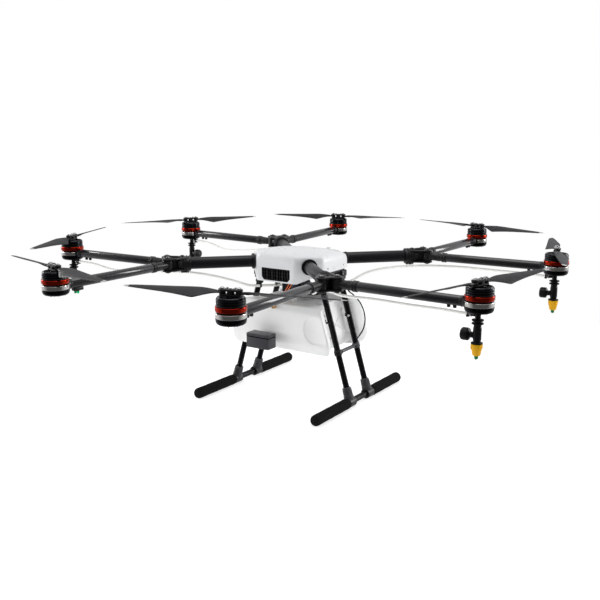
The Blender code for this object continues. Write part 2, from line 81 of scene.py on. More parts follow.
# how much further each hose hangs by its main arm, and by its folding arm
HOSE_SAG = {2: (0.014, 0.016), 3: (0.008, 0.024), 6: (0.0, 0.0), 7: (0.004, 0.002)}
MOTOR_R = 0.036
MAIN_TUBE_R, SUB_TUBE_R = 0.018, 0.013
SUB_ARM_LENGTH = (MOTORS[1].xy - PIVOTS[1].xy).length
RING_UP = MOTORS[1].z - ARM_Z
PIN_HEIGHT = joints["blade_fold_1a"]["pos_m"][2] - MOTORS[1].z
PIN_OUT = (Vector(joints["blade_fold_1a"]["pos_m"]).xy - MOTORS[1].xy).length
BLADE_SPAN = 0.2467
BLADE_DARK_TO, BLADE_PALE_FROM = 0.906, 0.944     # shares of the span where the dark skin ends and the pale tip starts
NOZZLE_INSET = 0.002         # how far a nozzle hangs inside its motor's axis

# ---- heights below the hub's reference, and places that several pieces share ----
TANK_TOP, TANK_BOTTOM = -0.13, -0.274
FILLER_Y = 0.07
MANIFOLD_Z, MANIFOLD_ASIDE = -0.092, 0.012      # where the four hoses leave the pump
BARB_Z = -0.0405                                # where a hose meets its nozzle
BRACE_Z, BRACE_HALF = -0.272, 0.046
GRILLE_Z = -0.0405
RADAR_AT = (-0.034, -0.16, -0.239)


# ---- placing ----
def facing(origin, direction):
    """A frame at origin whose X runs level along direction, with Z up."""
    x = Vector((direction.x, direction.y, 0)).normalized()
    return Matrix.Translation(origin) @ Matrix((x, UP.cross(x), UP)).transposed().to_4x4()


def at(x=0.0, y=0.0, z=0.0):
    return Matrix.Translation((x, y, z))


def turned(angle, axis="Z"):
    return Matrix.Rotation(math.radians(angle), 4, axis)


def aimed(start, end):
    """A frame at start whose Z points to end."""
    start, end = Vector(start), Vector(end)
    return Matrix.Translation(start) @ (end - start).to_track_quat("Z", "Y").to_matrix().to_4x4()


CORNER_SHARE, OPEN_SHARE = 0.45, 0.48     # the most of an edge that one rounded corner may take
ALONG_X = turned(90, "Y")     # stands a turned shape's axis along +X
HUB_AT = at(HUB.x, HUB.y, HUB.z)


def linked(name, data):
    """A new object in the scene."""
    obj = bpy.data.objects.new(name, data)
    bpy.context.scene.collection.objects.link(obj)
    return obj


# ---- solids: each function gives one closed bmesh ----
def lathe(profile, steps=40):
    """A solid of revolution about Z. The profile runs from axis to axis, or else closes on itself."""
    solid = bmesh.new()
    rings = []
    for radius, z in profile:
        if radius < 1e-6:
            rings.append([solid.verts.new((0, 0, z))])
        else:
            turns = [2 * math.pi * i / steps for i in range(steps)]
            rings.append([solid.verts.new((radius * math.cos(a), radius * math.sin(a), z)) for a in turns])
    pairs = list(zip(rings, rings[1:]))
    if profile[0][0] > 1e-6:
        pairs.append((rings[-1], rings[0]))
    for first, second in pairs:
        for i in range(steps):
            j = (i + 1) % steps
            corners = [first[i % len(first)], first[j % len(first)], second[j % len(second)], second[i % len(second)]]
            corners = list(dict.fromkeys(corners))
            if len(corners) > 2:
                solid.faces.new(corners)
    return solid


def to_axis(points):
    """A profile closed to the axis at both ends."""
    return [(0, points[0][1]), *points, (0, points[-1][1])]


def part_turned(profile, start, end, steps):
    """A closed profile turned about Z through part of a circle, with flat ends."""
    rings = []
    for i in range(steps + 1):
        a = math.radians(start + (end - start) * i / steps)
        rings.append([(r * math.cos(a), r * math.sin(a), z) for r, z in profile])
    return loft(rings)


def bend(here, before, after, reach_in, reach_out, steps):
    """Points of the curve that replaces a corner; before and after point from it to its neighbours."""
    start, end = here + before.normalized() * reach_in, here + after.normalized() * reach_out
    return [tuple(start * (1 - t) ** 2 + here * 2 * t * (1 - t) + end
        * t ** 2) for t in (k / steps for k in range(steps + 1))]


def soft(points, radius, steps=3):
    """The outline with its corners rounded; the two ends of one that touches the axis stay."""
    closed = points[0][0] > 1e-6
    count = len(points)
    made = []
    for i, (x, y) in enumerate(points):
        if not closed and i in (0, count - 1):
            made.append((x, y))
            continue
        here = Vector((x, y))
        before, after = Vector(points[i - 1]) - here, Vector(points[(i + 1) % count]) - here
        reach = min(radius, before.length * CORNER_SHARE, after.length * CORNER_SHARE)
        made += bend(here, before, after, reach, reach, steps)
    return made


def block(size, bevel=0.0, segments=2):
    solid = bmesh.new()
    bmesh.ops.create_cube(solid, size=1.0)
    bmesh.ops.scale(solid, vec=size, verts=solid.verts)
    if bevel:
        bmesh.ops.bevel(solid, geom=solid.edges[:], offset=bevel, segments=segments, profile=0.5, affect="EDGES")
    return solid


def rod(radius, length, top=None, edge=0.0006, sides=24):
    """A cylinder or cone from z 0 to its length, with rounded edges."""
    top = radius if top is None else top
    return lathe(soft(to_axis([(radius, 0), (top, length)]), edge, 2), sides)


def slab(outline, thickness, bevel=0.0):
    """A flat plate with the outline's shape, centred on z 0, with its rim rounded."""
    half = thickness / 2
    levels = [(-half, bevel), (-half + bevel * 0.3, bevel * 0.3), (-half + bevel, 0)] if bevel else [(-half, 0)]
    levels += [(-z, inset) for z, inset in reversed(levels)]
    inward = []
    for i in range(len(outline)):
        along = (Vector(outline[(i + 1) % len(outline)]) - Vector(outline[i - 1])).normalized()
        inward.append(Vector((-along.y, along.x)))
    return loft([[(*(Vector(here) + way * inset), z) for here, way in zip(outline, inward)] for z, inset in levels])


def skin(solid, rings):
    """Faces between each ring of vertices and the next."""
    for first, second in zip(rings, rings[1:]):
        for i in range(len(first)):
            j = (i + 1) % len(first)
            solid.faces.new((first[i], first[j], second[j], second[i]))


def loft(rings):
    """A skin through rings of points, capped at both ends."""
    solid = bmesh.new()
    made = [[solid.verts.new(point) for point in ring] for ring in rings]
    skin(solid, made)
    solid.faces.new(made[0])
    solid.faces.new(made[-1])
    return solid


def smooth_path(points, per_span):
    """Points on a Catmull-Rom curve through the route's own points."""
    points = [Vector(p) for p in points]
    padded = [points[0] * 2 - points[1], *points, points[-1] * 2 - points[-2]]
    path = []
    for a, b, c, d in zip(padded, padded[1:], padded[2:], padded[3:]):
        for step in range(per_span):
            t = step / per_span
            path.append(0.5 * (2 * b + (c - a) * t + (2 * a - 5 * b + 4 * c - d) * t ** 2 + (3 * b - a - 3 * c + d)
                * t ** 3))
    path.append(points[-1])
    return path


def sweep(path, radius, sides=12):
    """A round tube along a path, with its sections carried along without twist."""
    rings = []
    heading = (path[1] - path[0]).normalized()
    side = heading.orthogonal().normalized()
    for i, point in enumerate(path):
        new = (path[min(i + 1, len(path) - 1)] - path[max(i - 1, 0)]).normalized()
        side = (heading.rotation_difference(new) @ side).normalized()
        heading = new
        other = heading.cross(side)
        rings.append([point + (side * math.cos(a) + other * math.sin(a)) * radius for a in (2 * math.pi
            * k / sides for k in range(sides))])
    return loft(rings)


def arc(centre, radius, start, end, count):
    """Points of an arc in degrees, both ends included."""
    angles = [math.radians(start + (end - start) * i / (count - 1)) for i in range(count)]
    return [(centre[0] + radius * math.cos(a), centre[1] + radius * math.sin(a)) for a in angles]


def rounded_box(width, depth, radius, count=6):
    """Outline of a rectangle with round corners, counter-clockwise."""
    x, y = width / 2 - radius, depth / 2 - radius
    corners = ((x, -y, -90), (x, y, 0), (-x, y, 90), (-x, -y, 180))
    return [p for cx, cy, start in corners for p in arc((cx, cy), radius, start, start + 90, count)]


class Piece:
    """Gathers closed solids, each with its own material, into one mesh."""

    def __init__(self):
        self.mesh = bmesh.new()
        self.materials = []

    def add(self, solid, material, place=Matrix()):
        if material not in self.materials:
            self.materials.append(material)
        for face in solid.faces:
            face.material_index = self.materials.index(material)
            face.smooth = True
        bmesh.ops.transform(solid, matrix=place, verts=solid.verts)
        bmesh.ops.recalc_face_normals(solid, faces=solid.faces)
        carried = bpy.data.meshes.new("carried")
        solid.to_mesh(carried)
        solid.free()
        self.mesh.from_mesh(carried)
        bpy.data.meshes.remove(carried)

    def turn(self, profile, radius, steps, material, place=Matrix(), fine=3):
        """Adds a solid of revolution with rounded corners."""
        self.add(lathe(soft(profile, radius, fine), steps), material, place)

    def box(self, size, bevel, material, place=Matrix(), fine=2):
        """Adds a bevelled block."""
        self.add(block(size, bevel, fine), material, place)

    def bake(self, name, sharp=38):
        mesh = bpy.data.meshes.new(name)
        self.mesh.to_mesh(mesh)
        self.mesh.free()
        for material in self.materials:
            mesh.materials.append(material)
        mesh.set_sharp_from_angle(angle=math.radians(sharp))
        return mesh


def show(name, mesh, place, body, slot, *nodes):
    """Puts a mesh in the scene on a body, in place of the frame's nodes."""
    obj = linked(name, mesh)
    obj.matrix_world = place
    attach(obj, body)
    if nodes:
        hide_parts(*nodes)
    return obj


# ---- materials ----
def principled(name, colour, roughness, metallic=0.0, **constants):
    material = bpy.data.materials.new(name)
    material.use_nodes = True
    shader = material.node_tree.nodes["Principled BSDF"]
    shader.inputs["Base Color"].default_value = (*colour, 1.0)
    shader.inputs["Roughness"].default_value = roughness
    shader.inputs["Metallic"].default_value = metallic
    for socket, value in constants.items():
        shader.inputs[socket.replace("_", " ")].default_value = value
    return material


class Nodes:
    """Short hand for the node tree of a material or of the world."""

    def __init__(self, owner):
        self.tree = owner.node_tree
        self.shader = self.tree.nodes.get("Principled BSDF")

    def link(self, source, target):
        self.tree.links.new(source, target)

    def coordinates(self, stretch=(1, 1, 1)):
        source = self.tree.nodes.new("ShaderNodeTexCoord")
        mapping = self.tree.nodes.new("ShaderNodeMapping")
        mapping.inputs["Scale"].default_value = stretch
        self.link(source.outputs["Object"], mapping.inputs["Vector"])
        return mapping.outputs["Vector"]

    def noise(self, scale, detail=3.0, stretch=(1, 1, 1)):
        node = self.tree.nodes.new("ShaderNodeTexNoise")
        node.inputs["Scale"].default_value = scale
        node.inputs["Detail"].default_value = detail
        self.link(self.coordinates(stretch), node.inputs["Vector"])
        return node.outputs["Fac"]

    def maths(self, operation, *values):
        node = self.tree.nodes.new("ShaderNodeMath")
        node.operation = operation
        node.use_clamp = operation == "MULTIPLY_ADD"
        for socket, value in zip(node.inputs, values):
            if isinstance(value, (int, float)):
                socket.default_value = value
            else:
                self.link(value, socket)
        return node.outputs[0]

    def colours(self, share, stops):
        ramp = self.tree.nodes.new("ShaderNodeValToRGB")
        elements = ramp.color_ramp.elements
        while len(elements) < len(stops):
            elements.new(0.5)
        for element, (position, colour) in zip(elements, stops):
            element.position = position
            element.color = (*colour, 1.0)
        self.link(share, ramp.inputs["Fac"])
        self.link(ramp.outputs["Color"], self.shader.inputs["Base Color"])

    def roughness(self, share, low, high):
        spread = self.tree.nodes.new("ShaderNodeMapRange")
        spread.inputs["From Min"].default_value = 0.3
        spread.inputs["From Max"].default_value = 0.7
        spread.inputs["To Min"].default_value = low
        spread.inputs["To Max"].default_value = high
        self.link(share, spread.inputs["Value"])
        self.link(spread.outputs["Result"], self.shader.inputs["Roughness"])

    def bump(self, height, strength, distance):
        node = self.tree.nodes.new("ShaderNodeBump")
        node.inputs["Strength"].default_value = strength
        node.inputs["Distance"].default_value = distance
        self.link(height, node.inputs["Height"])
        self.link(node.outputs["Normal"], self.shader.inputs["Normal"])


def moulded(name, colour, roughness, grain=1400, strength=0.18, spread=0.12, metallic=0.0, **constants):
    """Moulded or coated surface: slow changes of tone and gloss under a fine grain."""
    material = principled(name, colour, roughness, metallic, **constants)
    nodes = Nodes(material)
    slow = nodes.noise(28, 4.0)
    nodes.colours(slow, [(0.3, [c * (1 - spread) for c in colour]), (0.7, [min(1, c * (1
        + spread)) for c in colour])])
    nodes.roughness(slow, roughness * 0.85, min(1.0, roughness * 1.15))
    nodes.bump(nodes.noise(grain, 2.0), strength, 0.0004)
    return material


def machined(name, colour, roughness, strength=0.25):
    """Metal turned about its Z: fine rings of tool marks."""
    material = principled(name, colour, roughness, 1.0)
    nodes = Nodes(material)
    rings = nodes.noise(60, 2.0, (0.02, 0.02, 12))
    nodes.colours(rings, [(0.35, [c * 0.9 for c in colour]), (0.65, [min(1, c * 1.06) for c in colour])])
    nodes.roughness(nodes.noise(60, 3.0), roughness * 0.8, roughness * 1.3)
    nodes.bump(rings, strength, 0.0002)
    return material


def twill(name, radius, tow, coat):
    """Woven carbon under clear resin, wrapped round a tube that runs along its object's X."""
    material = principled(name, (0.02, 0.02, 0.022), 0.34, Specular_IOR_Level=0.25, Coat_Weight=coat,
        Coat_Roughness=0.1)
    nodes = Nodes(material)
    split = nodes.tree.nodes.new("ShaderNodeSeparateXYZ")
    nodes.link(nodes.coordinates(), split.inputs[0])
    around = nodes.maths("MULTIPLY", nodes.maths("ARCTAN2", split.outputs["Z"], split.outputs["Y"]), radius / tow)
    along = nodes.maths("MULTIPLY", split.outputs["X"], 1 / tow)
    step = nodes.maths("ADD", nodes.maths("FLOOR", around), nodes.maths("FLOOR", along))
    place = nodes.maths("MODULO", nodes.maths("ADD", step, 4000), 4)
    over = nodes.maths("LESS_THAN", place, 1.5)
    nodes.colours(over, [(0.0, (0.004, 0.004, 0.005)), (1.0, (0.015, 0.015, 0.018))])
    warp = nodes.maths("SINE", nodes.maths("MULTIPLY", nodes.maths("FRACT", around), math.pi))
    weft = nodes.maths("SINE", nodes.maths("MULTIPLY", nodes.maths("FRACT", along), math.pi))
    under = nodes.maths("SUBTRACT", 1.0, over)
    height = nodes.maths("ADD", nodes.maths("MULTIPLY", warp, over), nodes.maths("MULTIPLY", weft, under))
    nodes.bump(height, 0.1, 0.0002)
    return material


def foam(name):
    """Closed-cell foam: black, dull, with small open pores."""
    material = principled(name, (0.005, 0.005, 0.005), 0.85, Specular_IOR_Level=0.08)
    nodes = Nodes(material)
    cells = nodes.tree.nodes.new("ShaderNodeTexVoronoi")
    cells.inputs["Scale"].default_value = 700
    nodes.link(nodes.coordinates(), cells.inputs["Vector"])
    # The pores' pits get the darker tone: painted shade in them, over the foam's own black.
    nodes.colours(cells.outputs["Distance"], [(0.1, (0.003, 0.003, 0.003)), (0.5, (0.01, 0.01, 0.0095))])
    nodes.bump(cells.outputs["Distance"], 0.6, 0.0006)
    return material


def blade_skin(name, colour):
    """Filled nylon with a faint grain along the blade's span."""
    material = principled(name, colour, 0.42, Specular_IOR_Level=0.3)
    nodes = Nodes(material)
    streaks = nodes.noise(260, 3.0, (0.08, 1, 1))
    nodes.colours(streaks, [(0.35, [c * 0.85 for c in colour]), (0.65, [c * 1.2 for c in colour])])
    nodes.roughness(nodes.noise(40, 3.0), 0.36, 0.5)
    nodes.bump(nodes.noise(1500, 2.0), 0.12, 0.0003)
    return material


WHITE = moulded("white_gloss_shell", (0.86, 0.87, 0.885), 0.3, 900, 0.05, 0.015)
NYLON = moulded("black_glass_filled_nylon", (0.011, 0.011, 0.012), 0.34, Specular_IOR_Level=0.5)
NYLON_GREY = moulded("grey_black_nylon", (0.045, 0.045, 0.048), 0.4, Specular_IOR_Level=0.4)
PLASTIC = moulded("black_plastic", (0.007, 0.007, 0.008), 0.36, 1100, 0.12, Specular_IOR_Level=0.3)
# Deep black for black parts, and painted shade: sockets, vent slots, the spray slit and the space behind the intake
# get it where they are holes.
BLACK_AND_PAINTED_SHADE = moulded("deep_black_and_painted_shade", (0.003, 0.003, 0.003), 0.7, Specular_IOR_Level=0.1)
ANODISED = machined("black_anodised", (0.018, 0.0185, 0.021), 0.2, 0.02)
SMOKED = machined("smoked_edge", (0.1, 0.103, 0.11), 0.22, 0.02)
RED = machined("orange_red_anodised", (0.58, 0.03, 0.01), 0.15, 0.02)
POLISHED = machined("polished_aluminium", (0.92, 0.9, 0.87), 0.14, 0.03)
STEEL = machined("bright_steel", (0.8, 0.8, 0.8), 0.2, 0.1)
COPPER = moulded("copper_winding", (0.5, 0.19, 0.07), 0.35, 2600, 0.8, 0.2, 0.9)
MAIN_CARBON = twill("main_tube_twill", MAIN_TUBE_R, 0.0021, 0.1)
SUB_CARBON = twill("sub_tube_twill", SUB_TUBE_R, 0.0019, 0.95)
SUB_SLEEVE = moulded("arm_end_sleeve", (0.03, 0.03, 0.034), 0.28, 900, 0.08, Specular_IOR_Level=0.5)
LEG_CARBON = moulded("leg_tube_carbon", (0.004, 0.004, 0.005), 0.26, 700, 0.06, 0.2, Specular_IOR_Level=0.2)
BLADE = blade_skin("blade_graphite", (0.011, 0.011, 0.013))
BLADE_TIP = blade_skin("blade_tip_pale", (0.55, 0.55, 0.55))
TANK = moulded("tank_polyethylene", (0.91, 0.915, 0.91), 0.42, 500, 0.1, 0.02)
TANK_RECESS = moulded("tank_recess", (0.94, 0.945, 0.94), 0.36, 500, 0.08, 0.015)
# The hose is whitish, and its faint emission is a painted glow that lifts it towards white.
HOSE_WITH_PAINTED_GLOW = moulded("whitish_hose_painted_glow", (0.9, 0.9, 0.87), 0.32, 400, 0.05, 0.02, Transmission_Weight=0.1, IOR=1.3,
    Emission_Color=(1.0, 1.0, 0.97, 1.0), Emission_Strength=0.15)
FOAM = foam("black_foam")
BATTERY = moulded("battery_case", (0.035, 0.035, 0.04), 0.45, Specular_IOR_Level=0.35)
RADAR = moulded("radar_case", (0.05, 0.051, 0.058), 0.38, 1200, 0.2, Specular_IOR_Level=0.5)
BRACE = moulded("brace_grey", (0.07, 0.072, 0.078), 0.34, 900, 0.1, 0.06)
YELLOW = moulded("yellow_nozzle_cap", (0.82, 0.42, 0.003), 0.35, 900, 0.08, 0.05, Specular_IOR_Level=0.25)
GREEN = moulded("green_spray_tip", (0.01, 0.22, 0.07), 0.35, 900, 0.08, 0.08)
BRASS = machined("brass_fitting", (0.8, 0.42, 0.12), 0.28)
ORANGE_WIRE = moulded("orange_wire", (0.85, 0.16, 0.04), 0.4, 900, 0.1, 0.06)
CABLE = moulded("black_cable", (0.008, 0.008, 0.009), 0.42, 900, 0.15, Specular_IOR_Level=0.3)
PALE_PIPE = moulded("pale_fitting", (0.7, 0.71, 0.7), 0.35, 700, 0.06, 0.04)
BLUE_BLACK = moulded("pump_head_blue_black", (0.03, 0.045, 0.07), 0.32, 900, 0.1)
LED_OFF = principled("led_window", (0.25, 0.3, 0.28), 0.15)
LED_GREEN = principled("led_green", (0.01, 0.45, 0.16), 0.2, Emission_Color=(0.01, 0.6, 0.2, 1.0),
    Emission_Strength=0.35)


# ---- shared small parts ----
def cap_screw(piece, place, radius=0.0032, height=0.0026, material=None):
    """A socket-head screw standing on z 0: chamfered head, with a deep black hexagon over its socket as painted shade
    of the hole.
    """
    material = material or STEEL
    head = to_axis([(radius * 0.86, height), (radius, height * 0.82), (radius, 0)])
    piece.add(lathe(head, 20), material, place)
    # Deep black hexagon standing for the socket: painted shade.
    piece.add(lathe(to_axis([(radius * 0.5, height + 0.00015), (radius * 0.5, 0)]), 6), BLACK_AND_PAINTED_SHADE, place)


# ---- motors and propellers ----
def make_rotor():
    """Spinning bell with its coloured ring and open crown, and the clamp that holds both blades."""
    piece = Piece()
    wall = [(0.0334, -0.0061), (0.0334, 0.0226), (0.0318, 0.0252), (0.029, 0.026), (0.0258, 0.0256), (0.0262, 0.022),
        (0.03, 0.0196), (0.0304, -0.0061)]
    piece.turn(wall, 0.0014, 56, ANODISED)
    ring = [(0.032, -0.0055), (MOTOR_R, -0.0055), (MOTOR_R, 0.0055), (0.032, 0.0055)]
    piece.turn(ring, 0.0017, 56, RED, fine=4)
    for z, radius, thick in ((0.0086, 0.03385, 0.0008), (0.015, 0.0338, 0.0005), (0.0205, 0.0338, 0.0005)):
        band = [(0.032, z - thick), (radius, z - thick), (radius, z + thick), (0.032, z + thick)]
        piece.turn(band, 0.0004, 56, SMOKED, fine=2)
    lip = [(0.0296, 0.0252), (0.031, 0.0254), (0.0304, 0.0262), (0.029, 0.0263)]
    piece.turn(lip, 0.0003, 56, SMOKED, fine=2)
    piece.turn(to_axis([(0.0112, 0.0266), (0.0122, 0.019)]), 0.001, 40, ANODISED)
    for i in range(9):
        piece.box((0.018, 0.004, 0.0042), 0.0008, ANODISED, turned(i * 40) @ at(0.0192, 0, 0.0232))
    plate = rounded_box(2 * PIN_OUT + 0.013, 0.019, 0.0075, 7)
    for z in (-0.0055, 0.0055):
        piece.add(slab(plate, 0.0045, 0.0007), NYLON, at(z=PIN_HEIGHT + z))
    piece.add(rod(0.0085, 0.015, edge=0.001, sides=32), ANODISED, at(z=PIN_HEIGHT - 0.012))
    piece.add(slab(rounded_box(0.0125, 0.018, 0.003, 5), 0.0062), NYLON, at(z=PIN_HEIGHT))
    top = PIN_HEIGHT + 0.00775
    for x in (-PIN_OUT, PIN_OUT):
        lump = to_axis([(0.0078, 0.0008), (0.009, -0.001), (0.009, -0.0038)])
        piece.turn(lump, 0.0008, 32, NYLON, at(x, 0, top))
        piece.add(rod(0.0024, 0.012, sides=16), STEEL, at(x, 0, PIN_HEIGHT - 0.006))
        cap_screw(piece, at(x, 0, top + 0.0007), 0.005, 0.003)
        for y in (-0.0052, 0.0052):
            cap_screw(piece, at(x * 0.5, y, top), 0.0031, 0.0026)
    piece.turn(to_axis([(0.003, top + 0.0012), (0.0036, top)]), 0.0006, 20, ANODISED)
    return piece.bake("rotor")


def make_blade(turn_sign):
    """One blade along +X from its pin, with a pointed belly a quarter of the way out and a pale tip."""
    span = BLADE_SPAN
    # share of span, chord ahead of and behind the pin line, half thickness, pitch in degrees
    stations = ((0.022, 0.0068, 0.0068, 0.0027, 0), (0.05, 0.007, 0.0076, 0.0029, 5), (0.09, 0.009, 0.01, 0.0033, 11),
        (0.13, 0.0118, 0.0146, 0.0028, 16), (0.17, 0.0136, 0.0196, 0.0021, 19), (0.21, 0.0147, 0.0252, 0.002, 20.5),
        (0.243, 0.015, 0.0296, 0.0019, 21), (0.262, 0.0151, 0.03, 0.0018, 21), (0.3, 0.0151, 0.0284, 0.0018, 20),
        (0.36, 0.0148, 0.026, 0.0017, 18.5), (0.46, 0.0138, 0.0224, 0.0015, 16), (0.58, 0.0126, 0.0186, 0.0014, 14),
        (0.7, 0.0112, 0.0154, 0.0012, 12.5), (0.82, 0.0094, 0.0118, 0.0011, 11), (0.905, 0.0078, 0.0092, 0.0009, 9.5),
        (0.925, 0.0073, 0.0086, 0.0009, 9), (0.945, 0.0068, 0.0078, 0.0008, 9), (0.975, 0.0055, 0.0064, 0.0007, 8.5),
        (0.993, 0.0038, 0.0046, 0.0005, 8), (1.0, 0.0018, 0.0028, 0.0003, 8))
    around = 16
    rings = []
    for share, ahead, behind, half_thick, pitch in stations:
        tilt = math.radians(pitch)
        middle, half = (ahead - behind) / 2, (ahead + behind) / 2
        ring = []
        for k in range(around):
            a = 2 * math.pi * k / around
            u = math.cos(a)
            thick = half_thick * math.sin(a) * (1.0 + 0.35 * u) * 1.1
            y = middle + half * u
            z = thick + 0.06 * half * (1 - u * u) * min(1.0, share * 6)
            ring.append((share * span, turn_sign * (y * math.cos(tilt) - z * math.sin(tilt)), y * math.sin(tilt) + z
                * math.cos(tilt)))
        rings.append(ring)
    piece = Piece()
    dark = [i for i, station in enumerate(stations) if station[0] <= BLADE_DARK_TO]
    pale = [i for i, station in enumerate(stations) if station[0] >= BLADE_PALE_FROM]
    piece.add(loft([rings[i] for i in dark]), BLADE)
    piece.add(loft([rings[i] for i in range(dark[-1], pale[0] + 1)]), BLADE)
    piece.add(loft([rings[i] for i in pale]), BLADE_TIP)
    piece.turn(to_axis([(0.0078, 0.0029), (0.0078, -0.0029)]), 0.0008, 32, BLADE)
    return piece.bake(f"blade_{'left' if turn_sign > 0 else 'right'}", 50)


rotor_mesh = make_rotor()
blade_meshes = {sign: make_blade(sign) for sign in (1, -1)}
for n, motor in MOTORS.items():
    first_pin = Vector(joints[f"blade_fold_{n}a"]["pos_m"])
    heading = first_pin - motor
    show(f"motor_bell_{n}", rotor_mesh, facing(motor, heading), f"rotor_{n}", "motor_black", f"rotor_{n}")
    for letter, way in (("a", heading), ("b", -heading)):
        pin = Vector(joints[f"blade_fold_{n}{letter}"]["pos_m"])
        show(f"propeller_blade_{n}{letter}", blade_meshes[1 if n % 2 else -1], facing(pin, way), f"blade_{n}{letter}",
            "blade_grey", f"blade_{n}{letter}")


# ---- folding arms with motor seats ----
def make_folding_arm(lit):
    """Folding arm along +X from its fold pin: knuckle, sleeve, woven tube, motor seat with its windings."""
    piece = Piece()
    length = SUB_ARM_LENGTH
    knuckle = [(0.0046, 0.0139), (0.0128, 0.0139), (0.015, 0.0118), (0.015, -0.0118), (0.0128, -0.0139), (0.0046,
        -0.0139)]
    piece.turn(knuckle, 0.0014, 48, NYLON)
    for z in (-0.006, 0.0, 0.006):
        piece.turn([(0.014, z - 0.0012), (0.0154, z - 0.0008), (0.0154, z + 0.0008), (0.014, z + 0.0012)], 0.0004, 48,
            NYLON, fine=2)
    sleeve = to_axis([(0.0118, 0.008), (0.0124, 0.03), (0.0124, 0.0495), (0.015, 0.0515), (0.015, 0.0565), (0.0142,
        0.0575), (0.0142, 0.06), (0.015, 0.061), (0.015, 0.064), (0.0136, 0.066)])
    piece.turn(sleeve, 0.0009, 40, NYLON, ALONG_X)
    for k in range(10):
        piece.box((0.012, 0.0022, 0.0016), 0.0005, NYLON, turned(36 * k, "X") @ at(0.04, 0, 0.0122), fine=1)
    tube = [(0.0112, 0.064), (SUB_TUBE_R, 0.064), (SUB_TUBE_R, length - 0.041), (0.0112, length - 0.041)]
    piece.turn(tube, 0.0003, 48, SUB_CARBON, ALONG_X, fine=2)
    clamp = to_axis([(0.0133, length - 0.046), (0.0137, length - 0.045), (0.0137, length - 0.04), (0.0128,
        length - 0.0385)])
    piece.turn(clamp, 0.0006, 40, NYLON, ALONG_X)
    root = lathe(soft([(0, length - 0.04), (0.0134, length - 0.04), (0.0134, length - 0.01), (0, length - 0.007)],
        0.0012), 40)
    bmesh.ops.transform(root, matrix=ALONG_X, verts=root.verts)
    for vert in root.verts:
        vert.co.z = min(vert.co.z, RING_UP - 0.007)
    piece.add(root, SUB_SLEEVE)
    seat = at(length, 0, RING_UP)
    core = to_axis([(0.0315, -0.0067), (0.0325, -0.01), (0.0325, -0.0225)])
    piece.turn(core, 0.0005, 56, BLACK_AND_PAINTED_SHADE, seat)
    band = [(0.03, -0.0098), (0.0346, -0.0098), (0.0354, -0.0108), (0.0354, -0.0202), (0.0346, -0.0212), (0.03,
        -0.0212)]
    piece.add(part_turned(soft(band, 0.0008), 180 + 30, 540 - 30, 48), POLISHED, seat)
    base = to_axis([(0.0352, -0.0214), (0.0354, -0.024), (0.0348, -0.03), (0.0322, -0.0345), (0.0262, -0.037)])
    piece.turn(base, 0.0022, 56, ANODISED, seat, fine=4)
    for k in range(4):
        cap_screw(piece, seat @ turned(45 + 90 * k) @ at(0.019, 0, -0.0368) @ turned(180, "X"), 0.0028, 0.0012)
    # Eight deep black pads on the base stand for its vent slots: painted shade of the holes.
    for k in range(8):
        slot = slab(rounded_box(0.006, 0.0024, 0.0011, 4), 0.0006)
        piece.add(slot, BLACK_AND_PAINTED_SHADE, seat @ turned(22.5 + 45 * k) @ at(0.0245, 0, -0.037))
    for k in range(12):
        place = seat @ turned(30 * k) @ at(0.0218, 0, 0.0015)
        piece.box((0.01, 0.0066, 0.018), 0.0018, COPPER, place)
    piece.add(rod(0.0155, 0.019, edge=0.001, sides=32), BLACK_AND_PAINTED_SHADE, seat @ at(0, 0, -0.0067))
    for x in (length - 0.0625, length - 0.0785):
        foot = [(0, -0.011), (0.0048, -0.011), (0.0045, -0.0165), (0.0045, -0.019), (0, -0.02)]
        piece.turn(foot, 0.0012, 24, NYLON, at(x, 0, 0))
    if lit:
        piece.box((0.03, 0.015, 0.01), 0.0022, NYLON, at(length - 0.069, 0, -0.0165), fine=3)
        stalk = to_axis([(0.0042, -0.018), (0.0036, -0.0245)])
        piece.turn(stalk, 0.0008, 24, NYLON, at(length - 0.07, 0, 0))
        lamp = [(0, -0.0244), (0.0034, -0.0244), (0.0034, -0.0285), (0.002, -0.0305), (0, -0.031)]
        piece.turn(lamp, 0.001, 24, LED_GREEN, at(length - 0.07, 0, 0))
    return piece.bake("folding_arm_lit" if lit else "folding_arm")


folding_arm_mesh, lit_arm_mesh = make_folding_arm(False), make_folding_arm(True)
for n, pivot in PIVOTS.items():
    show(f"arm_tube_{n}", lit_arm_mesh if n == 1 else folding_arm_mesh, facing(pivot, MOTORS[n] - pivot),
        f"folding_arm_{n}", "sub_arm_carbon", f"sub_arm_{n}")


